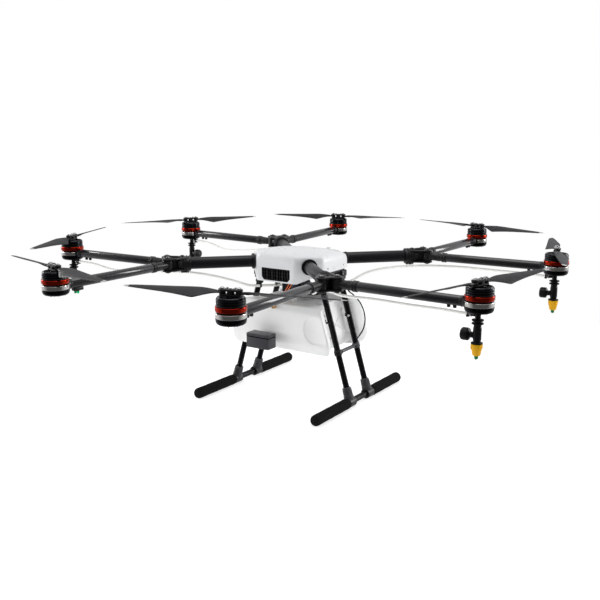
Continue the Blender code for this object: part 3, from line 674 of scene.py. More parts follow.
# ---- spray nozzles ----
def make_nozzle():
    """Nozzle hanging from z 0 at the hub's reference height; its check valve faces -X, the hub's side."""
    piece = Piece()
    top = MOTORS[1].z - 0.0373 - HUB.z
    stem = to_axis([(0.007, top), (0.007, -0.0495), (0.0145, -0.051), (0.0145, -0.054), (0.0092, -0.0552), (0.0092,
        -0.0578), (0.0145, -0.059), (0.0145, -0.062), (0.0092, -0.0635), (0.0092, -0.07), (0.0102, -0.071), (0.0102,
        -0.1), (0.0092, -0.101), (0.0092, -0.1055), (0.014, -0.1068), (0.0145, -0.1078), (0.0145, -0.11)])
    piece.turn(stem, 0.0006, 32, PLASTIC, fine=2)
    cap = to_axis([(0.014, -0.1098), (0.0145, -0.1115), (0.014, -0.116), (0.0118, -0.127), (0.0096, -0.1385)])
    piece.turn(cap, 0.0012, 32, YELLOW)
    for k in range(2):
        piece.box((0.005, 0.03, 0.011), 0.0014, YELLOW, turned(90 * k + 45) @ at(0, 0, -0.1175))
    tip = to_axis([(0.0052, -0.138), (0.005, -0.144), (0.004, -0.148)])
    piece.turn(tip, 0.0008, 20, GREEN)
    # A deep black bar stands for the spray slit: painted shade of the opening.
    piece.box((0.0016, 0.008, 0.0022), 0.0004, BLACK_AND_PAINTED_SHADE, at(0, 0, -0.1478), fine=1)
    valve = at(0, 0, -0.09) @ turned(-90, "Y")
    body = to_axis([(0.0074, 0.006), (0.0074, 0.018), (0.01, 0.019), (0.0128, 0.0205), (0.015, 0.0218), (0.015,
        0.0372), (0.014, 0.0392), (0.006, 0.0398)])
    piece.turn(body, 0.0009, 32, PLASTIC, valve)
    for k in range(18):
        piece.box((0.0016, 0.0024, 0.014), 0.0005, PLASTIC, valve @ turned(20 * k) @ at(0.0147, 0, 0.0296), fine=1)
    piece.add(rod(0.0052, 0.0022, edge=0.0006), NYLON_GREY, valve @ at(z=0.0388))
    barb = to_axis([(0.0046, 0.004), (0.0046, 0.013), (0.0052, 0.014), (0.004, 0.0215)])
    piece.turn(barb, 0.0006, 20, PLASTIC, at(0, 0, BARB_Z) @ turned(-90, "Y"), fine=2)
    piece.turn([(0.0041, 0.015), (0.006, 0.015), (0.006, 0.0195), (0.0041, 0.0195)], 0.0004, 20, STEEL, at(0, 0,
        BARB_Z) @ turned(-90, "Y"), fine=2)
    bracket = [(-0.008, -0.006), (0.024, -0.004), (0.024, 0.004), (-0.008, 0.006)]
    piece.add(slab(bracket, 0.003, 0.0006), NYLON, at(-0.004, 0, top - 0.0016) @ turned(180))
    piece.box((0.006, 0.008, 0.013), 0.0012, NYLON, at(-0.025, 0, top - 0.007))
    piece.add(rod(0.003, 0.015, edge=0.0008), NYLON, at(-0.025, -0.0075, top - 0.01) @ turned(-90, "X"))
    return piece.bake("nozzle")


nozzle_mesh = make_nozzle()
for n in SPRAY_MOTORS:
    place = facing(Vector((MOTORS[n].x, MOTORS[n].y, HUB.z)), MOTORS[n] - PIVOTS[n]) @ at(-NOZZLE_INSET)
    show(f"spray_nozzle_{n}", nozzle_mesh, place, f"folding_arm_{n}", "black_plastic", f"nozzle_{n}")


# ---- main arms and Y joints ----
def make_main_arm(proud):
    """Woven tube along +X, with the black collar that closes the hood's hole; the front ones stand proud."""
    piece = Piece()
    inside = MAIN_TUBE_R - 0.002
    tube = [(inside, 0.1), (MAIN_TUBE_R, 0.1), (MAIN_TUBE_R, 0.3347), (inside, 0.3347)]
    piece.turn(tube, 0.0004, 64, MAIN_CARBON, ALONG_X, fine=2)
    rim = 0.0238 if proud else 0.0196
    collar = [(0.0179, 0.1415), (rim - 0.001, 0.1415), (rim, 0.143), (rim, 0.148), (rim - 0.0012, 0.1496), (0.0179,
        0.1496)]
    piece.turn(collar, 0.0008, 64, PLASTIC, ALONG_X)
    return piece.bake("front_arm" if proud else "rear_arm")


def make_y_joint():
    """Ribbed clamp on the main tube, and a two-plate fork with both fold pins."""
    piece = Piece()
    reach = abs((PIVOTS[5].xy - HUB.xy).dot(Vector((1, 1)).normalized()))
    side = abs((PIVOTS[5].xy - HUB.xy).dot(Vector((-1, 1)).normalized()))
    clamp = to_axis([(0.0212, 0.3352), (0.0218, 0.3362), (0.0218, 0.372), (0.019, 0.376)])
    piece.turn(clamp, 0.001, 48, NYLON, ALONG_X)
    for k in range(4):
        x = 0.3392 + 0.0082 * k
        rib = [(0.021, x - 0.0022), (0.0243, x - 0.0018), (0.0243, x + 0.0018), (0.021, x + 0.0022)]
        piece.turn(rib, 0.0008, 48, NYLON, ALONG_X)
    outline = (arc((reach, side), 0.0165, -32, 118, 14) + arc((0.384, 0.0215), 0.01, 118, 150, 4) + arc((0.357, 0),
        0.0195, 128, 232, 10) + arc((0.384, -0.0215), 0.01, 210, 242, 4) + arc((reach, -side), 0.0165, -118, 32, 14)
        + [(reach + 0.0085, 0)])
    for level in (-1, 1):
        place = at(z=level * 0.017)
        piece.add(slab(outline, 0.0048, 0.0012), NYLON, place)
        for wing in (-1, 1):
            boss = at(reach, wing * side, level * 0.0188) @ (turned(0) if level > 0 else turned(180, "X"))
            piece.turn(to_axis([(0.0072, 0.0044), (0.0096, 0.0034), (0.011, 0)]), 0.001, 32, NYLON, boss)
            cap_screw(piece, boss @ at(z=0.0043), 0.0042, 0.0018, STEEL if level > 0 else ANODISED)
        for x, y in ((0.348, 0.0105), (0.348, -0.0105), (0.3735, 0.0), (0.3885, 0.0)):
            screw = at(x, y, level * 0.0193) @ (turned(0) if level > 0 else turned(180, "X"))
            cap_screw(piece, screw, 0.0026, 0.0016, ANODISED)
        for wing in (-1, 1):
            rib = block((0.04, 0.003, 0.0042), 0.001)
            piece.add(rib, NYLON, at(0.38, wing * 0.0112, level * 0.02) @ turned(wing * 22))
    for wing in (-1, 1):
        piece.add(rod(0.004, 0.034, sides=20), STEEL, at(reach, wing * side, -0.017))
        web = block((0.03, 0.004, 0.03), 0.0014)
        piece.add(web, NYLON, at(0.379, wing * 0.013, 0) @ turned(wing * 20))
        catch = block((0.012, 0.009, 0.012), 0.0022, 3)
        piece.add(catch, NYLON, at(0.37, wing * 0.0215, 0.004) @ turned(wing * 24))
    piece.box((0.03, 0.019, 0.029), 0.002, NYLON, at(0.3765, 0, 0))
    piece.turn(to_axis([(0.0052, 0.006), (0.0062, 0)]), 0.0012, 24, NYLON_GREY, at(0.361, 0, 0.0192))
    piece.box((0.024, 0.011, 0.008), 0.0018, NYLON, at(0.354, 0, -0.024))
    for x in (0.347, 0.361):
        piece.add(rod(0.0024, 0.016, sides=16), STEEL, at(x, -0.008, -0.025) @ turned(-90, "X"))
    return piece.bake("y_joint")


main_arm_meshes, y_joint_mesh = {proud: make_main_arm(proud) for proud in (True, False)}, make_y_joint()
for number, (first, second) in ARM_MOTORS.items():
    outward = (PIVOTS[first] + PIVOTS[second]) / 2 - HUB
    place = facing(Vector((HUB.x, HUB.y, ARM_Z)), outward)
    show(f"main_tube_{number}", main_arm_meshes[number > 2], place, "airframe", "carbon_tube", f"main_arm_{number}")
    show(f"fork_{number}", y_joint_mesh, place, "airframe", "joint_black", f"y_joint_{number}")


def round_open(points, radii, steps):
    """An open line with each inner corner rounded by its own reach."""
    made = [points[0]]
    for before, here, after, radius in zip(points, points[1:], points[2:], radii[1:]):
        here = Vector(here)
        before, after = Vector(before) - here, Vector(after) - here
        made += bend(here, before, after, min(radius, before.length * OPEN_SHARE), min(radius, after.length
            * OPEN_SHARE), steps)
    return [*made, points[-1]]


def working(solid, material):
    """A loose object to work on with modifiers."""
    for face in solid.faces:
        face.smooth = True
    bmesh.ops.recalc_face_normals(solid, faces=solid.faces)
    mesh = bpy.data.meshes.new("working")
    solid.to_mesh(mesh)
    solid.free()
    mesh.materials.append(material)
    return linked("working", mesh)


def carve(obj, cutter, place, material):
    """Cuts a shape out of a working object; the cut faces get the cutter's material."""
    bmesh.ops.transform(cutter, matrix=place, verts=cutter.verts)
    tool = working(cutter, material)
    tool["cutter"] = True
    cut = obj.modifiers.new("Cut", "BOOLEAN")
    cut.operation = "DIFFERENCE"
    cut.solver = "EXACT"
    cut.material_mode = "TRANSFER"
    cut.object = tool


def add_finished(piece, obj):
    """Adds a working object with its modifiers applied, and clears it and its cutters away."""
    bpy.context.view_layer.update()
    evaluated = obj.evaluated_get(bpy.context.evaluated_depsgraph_get())
    mesh = bpy.data.meshes.new_from_object(evaluated)
    for material in mesh.materials:
        if material not in piece.materials:
            piece.materials.append(material)
    slots = [piece.materials.index(material) for material in mesh.materials]
    for face in mesh.polygons:
        face.material_index = slots[face.material_index]
        face.use_smooth = True
    piece.mesh.from_mesh(mesh)
    for tool in [o for o in bpy.data.objects if o.get("cutter")]:
        bpy.data.objects.remove(tool)
    bpy.data.objects.remove(obj)
    bpy.data.meshes.remove(mesh)


# ---- hub: deck, hood, intake grille and battery ----
GRILLE_OUTLINE = [(0.0511, -0.009), (0.0511, 0.0185), (-0.0511, 0.0185), (-0.0511, -0.009), (-0.0425, -0.0185),
    (0.0425, -0.0185)]


def octagon(half, corner):
    return [(half, -corner), (half, corner), (corner, half), (-corner, half), (-half, corner), (-half, -corner),
        (-corner, -half), (corner, -half)]


def make_deck():
    """Lower plate with cradles for the arms, blocks for the legs, and a deep black block behind the grille, painted
    shade of the space inside the intake.
    """
    piece = Piece()
    piece.add(slab(soft(octagon(0.124, 0.064), 0.01), 0.008, 0.001), NYLON, at(z=-0.04))
    for arm in range(4):
        turn = turned(45 + 90 * arm)
        piece.box((0.034, 0.03, 0.007), 0.0014, NYLON, turn @ at(0.118, 0, -0.0335))
        saddle = arc((0, ARM_Z - HUB.z), MAIN_TUBE_R + 0.0004, 220, 320, 9)
        shape = [*saddle, (0.017, -0.037), (-0.017, -0.037)]
        piece.add(slab(shape, 0.03), NYLON, turn @ at(0.118, 0, 0) @ turned(90) @ turned(90, "X"))
        for y in (-0.0195, 0.0195):
            cap_screw(piece, turn @ at(0.108, y, -0.036), 0.0032, 0.003)
    for side in (-1, 1):
        for end in (-1, 1):
            corner = at(side * 0.113, end * 0.054, 0)
            piece.box((0.031, 0.03, 0.02), 0.0035, NYLON, corner @ at(z=-0.051), fine=3)
            piece.box((0.027, 0.025, 0.012), 0.0025, NYLON_GREY, corner @ at(z=-0.064), fine=3)
            for y in (-0.0095, 0.0095):
                screw = corner @ at(side * 0.0153, y, -0.051) @ turned(side * 90, "Y")
                cap_screw(piece, screw, 0.0026, 0.0016)
    # Deep black block: painted shade of the space behind the intake.
    piece.box((0.09, 0.05, 0.033), 0.003, BLACK_AND_PAINTED_SHADE, at(0, -0.086, -0.0213), fine=3)
    for x in (-0.03, -0.01, 0.01, 0.03):
        piece.box((0.006, 0.003, 0.008), 0.0008, NYLON, at(x, -0.11, -0.042))
    for x, y in ((0.05, 0.1), (-0.05, 0.1), (0.11, 0.0), (-0.11, 0.0), (0.045, -0.045), (-0.045, -0.045)):
        cap_screw(piece, at(x, y, -0.044) @ turned(180, "X"), 0.003, 0.002)
    # Deep black pads on the underside stand for vent slots: painted shade.
    for y in (0.045, 0.075):
        piece.add(slab(rounded_box(0.06, 0.01, 0.0048), 0.0012, 0.0004), BLACK_AND_PAINTED_SHADE, at(0, y, -0.0443))
    return piece.bake("deck")


def make_hood():
    """Octagonal hood whose top falls to the rear, with softly rounded edges and holes for the four arms."""
    outline = soft(octagon(0.13, 0.068), 0.0075, 4)
    sheet = bmesh.new()
    columns = []
    for x, y in outline:
        low = -0.035 - 0.028 * min(1.0, max(0.0, (-0.068 - y) / 0.058))
        crown = 0.0255
        profile = [(1.0, low), (1.0, 0.008 - 0.04 * y), (0.86, 0.017 - 0.05 * y), (0.45, 0.025 - 0.04 * y), (0.06,
            crown)]
        span = math.hypot(x, y)
        points = [(share * span, z) for share, z in profile]
        across = round_open(points, (0, 0.02, 0.026, 0.03, 0), 6)
        columns.append([(x * r / span, y * r / span, z) for r, z in across])
    rings = [[sheet.verts.new(column[level]) for column in columns] for level in range(len(columns[0]))]
    skin(sheet, rings)
    sheet.faces.new(rings[-1])
    shell = working(sheet, WHITE)
    wall = shell.modifiers.new("Wall", "SOLIDIFY")
    wall.thickness = 0.0025
    wall.offset = -1
    for arm in range(4):
        hole = rod(MAIN_TUBE_R + 0.0006, 0.05, sides=48)
        carve(shell, hole, turned(45 + 90 * arm) @ at(0.115, 0, ARM_Z - HUB.z) @ ALONG_X, PLASTIC)
    opening = slab(GRILLE_OUTLINE, 0.03)
    carve(shell, opening, at(0, -0.13, GRILLE_Z) @ turned(90, "X"), PLASTIC)
    carve(shell, block((0.092, 0.03, 0.073), 0.006, 3), at(0, 0.13, -0.0355), PLASTIC)
    piece = Piece()
    add_finished(piece, shell)
    slot = slab(rounded_box(0.012, 0.0034, 0.0016, 5), 0.0012, 0.0003)
    piece.add(slot, NYLON_GREY, at(0.052, 0.082, 0.0176) @ turned(2.4, "X") @ turned(35))
    for side in (-1, 1):
        for y in (-0.045, 0.045):
            cap_screw(piece, at(side * 0.1297, y, -0.0225) @ turned(side * 90, "Y"), 0.0026, 0.0012, STEEL)
    return piece.bake("hood", 30)


def make_grille():
    """Air intake: a bevelled frame with cut lower corners, upright slats and two cross bars."""
    piece = Piece()
    inner = [(x * 0.935, y * 0.83) for x, y in GRILLE_OUTLINE]
    outer = [(x * 0.992, y * 0.98) for x, y in GRILLE_OUTLINE]
    rings = []
    for line, depth in ((outer, 0.0), (outer, 0.0052), ([(x * 0.99, y * 0.97) for x, y in outer], 0.006),
                        ([(x * 1.01, y * 1.03) for x, y in inner], 0.006), (inner, 0.0052), (inner, 0.0)):
        rings.append([Vector((x, y, depth)) for x, y in line])
    frame_ring = bmesh.new()
    made = [[frame_ring.verts.new(p) for p in ring] for ring in rings]
    skin(frame_ring, [*made, made[0]])
    face_out = at(0, -0.1243, GRILLE_Z) @ turned(90, "X")
    piece.add(frame_ring, NYLON, face_out)
    # A deep black sheet behind the slats: painted shade of the intake's inside.
    piece.add(slab(inner, 0.0012), BLACK_AND_PAINTED_SHADE, face_out @ at(z=0.0006))
    for i in range(10):
        x = (i - 4.5) * 0.0093
        low = -0.0153 if abs(x) < 0.04 else -0.011
        slat = block((0.0024, 0.0154 - low, 0.0044), 0.0007)
        piece.add(slat, NYLON_GREY if i % 2 else NYLON, face_out @ at(x, (0.0154 + low) / 2, 0.003))
    for y in (-0.0048, 0.0052):
        piece.box((0.093, 0.0012, 0.0024), 0.0004, NYLON, face_out @ at(0, y, 0.0022), fine=1)
    return piece.bake("grille")


def make_battery():
    """Battery pack with side ribs, a rear face with its status lamps, and a grip to pull it out by."""
    piece = Piece()
    body = at(0, 0.038, -0.0182)
    piece.box((0.088, 0.1755, 0.0346), 0.004, BATTERY, body, fine=4)
    for i in range(9):
        piece.box((0.056, 0.0032, 0.0016), 0.0006, NYLON, body @ at(0, -0.07 + i * 0.015, 0.017), fine=1)
    for side in (-1, 1):
        piece.box((0.0016, 0.15, 0.006), 0.0006, NYLON, body @ at(side * 0.0438, 0, 0.004), fine=1)
    rear = body @ at(0, 0.0877, 0) @ turned(-90, "X")
    for i in range(4):
        piece.add(rod(0.0016, 0.001, edge=0.0003, sides=16), LED_OFF, rear @ at(-0.036 + i * 0.0052, -0.008, -0.0002))
    piece.add(rod(0.0042, 0.0014, edge=0.0005, sides=24), NYLON_GREY, rear @ at(0.034, -0.008, -0.0002))
    for side in (-1, 1):
        piece.box((0.008, 0.008, 0.012), 0.0018, NYLON, at(side * 0.021, 0.129, -0.0177), fine=3)
    piece.box((0.05, 0.009, 0.012), 0.0036, NYLON, at(0, 0.1344, -0.0177), fine=4)
    return piece.bake("battery_pack")


show("deck_plate", make_deck(), HUB_AT, "airframe", "joint_black", "center_frame")
show("hood", make_hood(), HUB_AT, "airframe", "white_shell", "body_shell")
show("air_grille", make_grille(), HUB_AT, "airframe", "black_plastic", "intake_grille")
show("battery_pack", make_battery(), HUB_AT, "battery", "battery_grey", "battery")


# ---- tank, cap and pump ----
RECESS = [(0.09, -0.202), (0.095, -0.174), (0.112, -0.157), (0.15, -0.154), (0.16, -0.19), (0.17, -0.226), (0.164,
    -0.24), (0.118, -0.24), (0.098, -0.226)]
RECESS_MID = (0.13, -0.2)


def make_tank():
    """Blow-moulded tank: waisted where the legs pass, flared downwards, with a recess and crossed ribs."""
    right = [(0.15, -0.118), (0.132, -0.08), (0.11, -0.074), (0.11, 0.074), (0.132, 0.08), (0.15, 0.118)]
    plan = soft(right + [(-x, y) for x, y in reversed(right)], 0.012, 4)
    levels = round_open([(-0.03, TANK_BOTTOM), (0.0215, TANK_BOTTOM), (0.036, -0.244), (0.006, -0.15), (-0.0045,
        TANK_TOP), (-0.06, TANK_TOP)], (0, 0.009, 0.02, 0.014, 0.01, 0), 5)
    rings = []
    for spread, z in levels:
        share = (min(1.0, 0.9 + 0.1 * (z - TANK_BOTTOM) / 0.03) if z < -0.2 else min(1.0, 0.9 + 0.1
            * (TANK_TOP - z) / 0.02))
        shrink = min(0.0, spread + 0.0045) if z > -0.2 else min(0.0, spread - 0.0215)
        reach = 1.0 + shrink / 0.15
        rings.append([((x + math.copysign(spread - shrink, x)) * reach, y * share * reach, z) for x, y in plan])
    tank = working(loft(rings), TANK)
    recess = soft(RECESS, 0.014, 4)
    inner = [(x + (RECESS_MID[0] - x) * 0.1, z + (RECESS_MID[1] - z) * 0.085) for x, z in recess]
    cutter = loft([[(x, -0.124, z) for x, z in recess], [(x, -0.1172, z) for x, z in recess], [(x, -0.115, z) for x,
        z in inner]])
    carve(tank, cutter, Matrix(), TANK_RECESS)
    carve(tank, rod(0.026, 0.06, sides=32), at(0, FILLER_Y, -0.16), TANK)
    piece = Piece()
    add_finished(piece, tank)
    neck = [(0.0262, -0.128), (0.03, -0.132), (0.03, -0.1145), (0.0285, -0.1138), (0.0262, -0.1145)]
    piece.turn(neck, 0.0008, 48, TANK, at(0, FILLER_Y, 0), fine=2)
    for side in (-1, 1):
        for start, end in ((-1, 1), (1, -1)):
            ends = [(side * (0.1155 + (-0.15 - z) * 0.319), y, z) for y, z in ((start * 0.056, -0.16), (end * 0.056,
                -0.24))]
            base, tip = Vector(ends[0]), Vector(ends[1])
            piece.add(rod(0.003, (tip - base).length, edge=0.001, sides=12), TANK, aimed(base, tip))
    return piece.bake("spray_tank", 32)


def make_cap():
    """Screw cap with grip ribs, a raised centre and its breather."""
    piece = Piece()
    rim = [(0.0313, 0.0003), (0.035, 0.0003), (0.0352, 0.003), (0.0346, 0.0168), (0.0325, 0.0195), (0.0, 0.0198),
        (0.0, 0.0164), (0.0313, 0.0164)]
    piece.add(lathe(round_open(rim, (0, 0.0006, 0.0006, 0.002, 0.002, 0, 0, 0), 3)[::-1], 64), PLASTIC)
    for k in range(24):
        piece.box((0.0022, 0.0036, 0.014), 0.0007, PLASTIC, turned(15 * k) @ at(0.035, 0, 0.009))
    piece.add(rod(0.01, 0.0016, edge=0.0006, sides=32), NYLON_GREY, at(z=0.0188))
    piece.box((0.044, 0.005, 0.003), 0.001, PLASTIC, at(z=0.0188))
    return piece.bake("filler_cap")


def make_pump():
    """Diaphragm pump with its motor, pulsing head, manifold and four pale hose tails."""
    piece = Piece()
    piece.box((0.07, 0.06, 0.036), 0.005, PLASTIC, at(0, -0.02, -0.092), fine=4)
    for i in range(6):
        piece.box((0.0022, 0.05, 0.0372), 0.0006, NYLON, at(-0.03 + i * 0.012, -0.02, -0.092), fine=1)
    motor = at(0, -0.02, -0.092) @ turned(-90, "X")
    head = [(0, 0), (0.0215, 0.0), (0.022, 0.006), (0.022, 0.04), (0.0205, 0.048), (0.012, 0.05), (0, 0.05)]
    piece.turn(head, 0.0014, 40, BLUE_BLACK, motor)
    for k in range(6):
        cap_screw(piece, motor @ turned(60 * k) @ at(0.0165, 0, 0.048), 0.0024, 0.0014)
    face = to_axis([(0.017, 0), (0.017, 0.004), (0.014, 0.006)])
    piece.turn(face, 0.001, 32, BLUE_BLACK, at(0.02, -0.05, -0.096) @ turned(90, "X"))
    for x in (-0.01, 0.01):
        for y in (-0.03, -0.01):
            piece.add(rod(0.0045, 0.03, edge=0.0008, sides=20), NYLON, at(x * 1.4, y, -0.077))
    piece.box((0.044, 0.034, 0.004), 0.0012, NYLON, at(0, -0.02, -0.0465))
    for n in SPRAY_MOTORS:
        along, across = arm_axes(n)
        start = along * 0.0225 + across * MANIFOLD_ASIDE
        place = facing(start + Vector((0, 0, MANIFOLD_Z)), along) @ ALONG_X
        piece.add(rod(0.004, 0.105, edge=0.0003, sides=20), HOSE_WITH_PAINTED_GLOW, place)
        for out, radius, length in ((0.018, 0.0066, 0.014), (0.048, 0.0056, 0.006), (0.096, 0.0056, 0.006)):
            piece.add(rod(radius, length, edge=0.0008, sides=20), PALE_PIPE if out < 0.09 else NYLON, place
                @ at(z=out))
    inlet = [Vector(p) for p in ((0.03, -0.052, -0.1), (0.03, -0.064, -0.104), (0.028, -0.07, -0.116), (0.026, -0.07,
        -0.131))]
    piece.add(sweep(smooth_path(inlet, 6), 0.006, 16), PALE_PIPE)
    fitting = to_axis([(0.0062, 0), (0.0062, 0.005), (0.0048, 0.006), (0.0048, 0.013)])
    piece.turn(fitting, 0.0006, 20, BRASS, at(-0.012, -0.118, -0.14) @ turned(90, "X"))
    return piece.bake("pump_set")


def arm_axes(n):
    """Unit vectors along a motor's main arm, and across it towards its folding arm."""
    first, second = next(pair for pair in ARM_MOTORS.values() if n in pair)
    along = ((PIVOTS[first] + PIVOTS[second]) / 2 - HUB)
    along.z = 0
    along.normalize()
    across = UP.cross(along)
    return along, across * (1 if (PIVOTS[n] - HUB).dot(across) > 0 else -1)


show("spray_tank", make_tank(), HUB_AT, "airframe", "tank_white", "tank")
show("filler_cap", make_cap(), at(HUB.x, HUB.y + FILLER_Y, HUB.z + TANK_TOP), "tank_cap", "black_plastic", "tank_cap")
show("pump_set", make_pump(), HUB_AT, "airframe", "pump_black", "pump")


# ---- landing gear and radar ----
LEG_TOP = Vector((0.113, 0.054, -0.0703))
SKID_R = 0.0165
SKID = Vector((0.216, 0.054, SKID_R * math.cos(math.radians(15)) - HUB.z))


def make_gear(side):
    """Two splayed legs, the grey brace between them, and the tees that grip the skid tube."""
    piece = Piece()
    for end in (-1, 1):
        top = Vector((side * LEG_TOP.x, end * LEG_TOP.y, LEG_TOP.z))
        foot = Vector((side * SKID.x, end * SKID.y, SKID.z))
        leg = aimed(foot, top)
        length = (top - foot).length
        piece.add(rod(0.009, length - 0.006, edge=0.0004, sides=32), LEG_CARBON, leg @ at(z=0.004))
        cone = to_axis([(0.015, 0.006), (0.0155, 0.012), (0.015, 0.02), (0.0135, 0.022), (0.0128, 0.034), (0.0138,
            0.036), (0.0134, 0.044), (0.01, 0.046)])
        piece.turn(cone, 0.001, 32, NYLON_GREY, leg)
        for k in range(8):
            piece.box((0.0022, 0.0022, 0.02), 0.0006, NYLON_GREY, leg @ turned(45 * k) @ at(0.0132, 0, 0.028), fine=1)
        tee = [(0.01, -0.017), (0.015, -0.017), (0.0155, -0.0155), (0.0155, 0.0155), (0.015, 0.017), (0.01, 0.017)]
        piece.turn(tee, 0.001, 32, NYLON, Matrix.Translation(foot) @ turned(90, "X"))
        cuff = [(0.009, 0), (0.0118, 0), (0.0125, 0.003), (0.0125, 0.012), (0.0112, 0.015), (0.009, 0.015)]
        piece.turn(cuff, 0.0008, 32, NYLON, leg @ at(z=length - 0.0165))
        share = (LEG_TOP.z - BRACE_Z) / (LEG_TOP.z - SKID.z)
        joint = top.lerp(foot, share)
        ring = [(0.009, -0.008), (0.0112, -0.008), (0.0118, -0.006), (0.0118, 0.006), (0.0112, 0.008), (0.009, 0.008)]
        grip = BRACE if end > 0 else NYLON
        piece.turn(ring, 0.0008, 32, grip, Matrix.Translation(joint) @ leg.to_3x3().to_4x4())
        piece.box((0.011, 0.014, 0.012), 0.002, grip, Matrix.Translation(joint) @ at(0, -end * 0.014, 0), fine=3)
        screw = Matrix.Translation(joint) @ at(side * 0.0056, -end * 0.014, 0) @ turned(side * 90, "Y")
        cap_screw(piece, screw, 0.0026, 0.0014, ANODISED)
    start = Vector((side * (LEG_TOP.x + (SKID.x - LEG_TOP.x) * share), -BRACE_HALF, BRACE_Z))
    piece.add(rod(0.0056, 2 * BRACE_HALF, edge=0.0004, sides=24), BRACE, Matrix.Translation(start) @ turned(-90, "X"))
    if side > 0:
        knob = at(0.1315, -0.07, -0.185)
        grip = to_axis([(0.0066, 0), (0.0082, 0.003), (0.0082, 0.012), (0.0064, 0.016)])
        piece.turn(grip, 0.0012, 24, PLASTIC, knob @ at(0, 0.004, 0) @ turned(90, "X"))
        piece.box((0.012, 0.011, 0.024), 0.0026, PLASTIC, knob @ at(-0.001, 0.003, 0), fine=3)
        piece.box((0.02, 0.005, 0.005), 0.0012, PLASTIC, knob @ at(0.009, 0.008, 0.002))
        band = top.lerp(foot, 0.315)
        piece.box((0.013, 0.013, 0.011), 0.003, PLASTIC, Matrix.Translation(band) @ at(-0.006, 0, 0), fine=3)
        cap_screw(piece, Matrix.Translation(band) @ at(0.004, -0.0082, 0) @ turned(90, "X"), 0.0036, 0.003)
        clip = top.lerp(foot, 0.1)
        clip.y = -LEG_TOP.y
        piece.turn([(0.0088, -0.004), (0.0104, -0.004), (0.0104, 0.004), (0.0088, 0.004)], 0.0006, 32, BRACE,
            Matrix.Translation(clip) @ leg.to_3x3().to_4x4())
    return piece.bake(f"gear_{'right' if side > 0 else 'left'}")


def make_skid_tube():
    """Tube under both tees of one side, along Y."""
    piece = Piece()
    piece.add(rod(0.0095, 0.4, edge=0.0006, sides=32), LEG_CARBON, at(0, -0.2, 0) @ turned(-90, "X"))
    return piece.bake("skid_tube")


def make_sleeve(end):
    """Thick foam sleeve on one end of a skid tube, rounded at its tip and a little uneven."""
    piece = Piece()
    start, stop, r = 0.0715, 0.252, SKID_R
    profile = [(0.01, start), (r - 0.003, start), (r - 0.0004, start + 0.003), (r, start + 0.01)]
    for k in range(1, 9):
        y = start + 0.01 + (stop - start - 0.02) * k / 9
        profile.append((r - 0.0002 - 0.0003 * math.sin(k * 2.1), y))
    profile += [(r, stop - 0.012), (r - 0.0006, stop - 0.006), (r - 0.0032, stop - 0.0016), (r - 0.008, stop), (0.0,
        stop)]
    outline = [(0.0, start), *profile]
    piece.add(lathe(outline, 48), FOAM, turned(-90 * end, "X"))
    return piece.bake(f"sleeve_{'front' if end < 0 else 'rear'}")


def make_radar():
    """Height radar: a squared case with a seam below its top, a lens plate in front and its bar behind."""
    piece = Piece()
    case = at(*RADAR_AT)
    piece.box((0.0816, 0.0416, 0.034), 0.003, RADAR, case @ at(z=-0.0054), fine=3)
    piece.box((0.08, 0.04, 0.004), 0.0004, BLACK_AND_PAINTED_SHADE, case @ at(z=0.0124), fine=1)
    piece.box((0.082, 0.042, 0.0094), 0.0026, RADAR, case @ at(z=0.0178), fine=3)
    piece.box((0.07, 0.0016, 0.026), 0.0007, RADAR, case @ at(0, -0.0206, -0.005))
    for x in (-0.035, 0.035):
        for y in (-0.015, 0.015):
            cap_screw(piece, case @ at(x, y, 0.0222), 0.002, 0.0009, ANODISED)
    piece.box((0.03, 0.019, 0.012), 0.002, PLASTIC, at(-0.0355, -0.1302, -0.239))
    piece.add(rod(0.0035, 0.008, edge=0.0006, sides=20), NYLON, case @ at(0.026, 0.02, -0.01) @ turned(-90, "X"))
    return piece.bake("radar_unit")


sleeve_meshes = {end: make_sleeve(end) for end in (-1, 1)}
tube_mesh = make_skid_tube()
for word, side in (("left", -1), ("right", 1)):
    show(f"leg_set_{word}", make_gear(side), HUB_AT, "airframe", "black_plastic", f"gear_{word}")
    place = HUB_AT @ at(side * SKID.x, 0, SKID.z)
    show(f"skid_tube_{word}", tube_mesh, place, "airframe", "carbon_tube", f"skid_{word}")
    for end, part in ((-1, "front"), (1, "rear")):
        sleeve = show(f"foam_{word}_{part}", sleeve_meshes[end], place, "airframe", "foam_black")
show("radar_unit", make_radar(), HUB_AT, "airframe", "black_plastic", "radar")


# ---- hoses and cables ----
def hose_route(n):
    """The frame's own route: from the manifold, under the main arm, to the nozzle's barb."""
    along, across = arm_axes(n)
    sub = (MOTORS[n] - PIVOTS[n])
    sub.z = 0
    sub.normalize()
    pivot = PIVOTS[n] - HUB
    pivot.z = 0
    barb = pivot + sub * (SUB_ARM_LENGTH - NOZZLE_INSET - 0.0223)
    sag, slack = HOSE_SAG[n]
    ways = [(along * 0.1283 + across * MANIFOLD_ASIDE, MANIFOLD_Z), (along * 0.14 + across * 0.0125, -0.0915), (along
        * 0.165 + across * 0.014, -0.081 - 0.5 * sag), (along * 0.215 + across * 0.015, -0.057 - sag), (along * 0.28
        + across * 0.017, -0.0455 - 0.6 * sag), (along * 0.345 + across * 0.018, -0.043), (pivot + sub * 0.02,
        -0.0415), (pivot + sub * 0.11, -0.0375 - 0.7 * slack), (pivot + sub * 0.22, -0.038 - slack), (pivot + sub
        * 0.3, -0.0385 - 0.3 * slack), (barb - sub * 0.02, BARB_Z), (barb, BARB_Z)]
    return [HUB + place + Vector((0, 0, z)) for place, z in ways]


def length_of(path):
    return sum((b - a).length for a, b in zip(path, path[1:]))


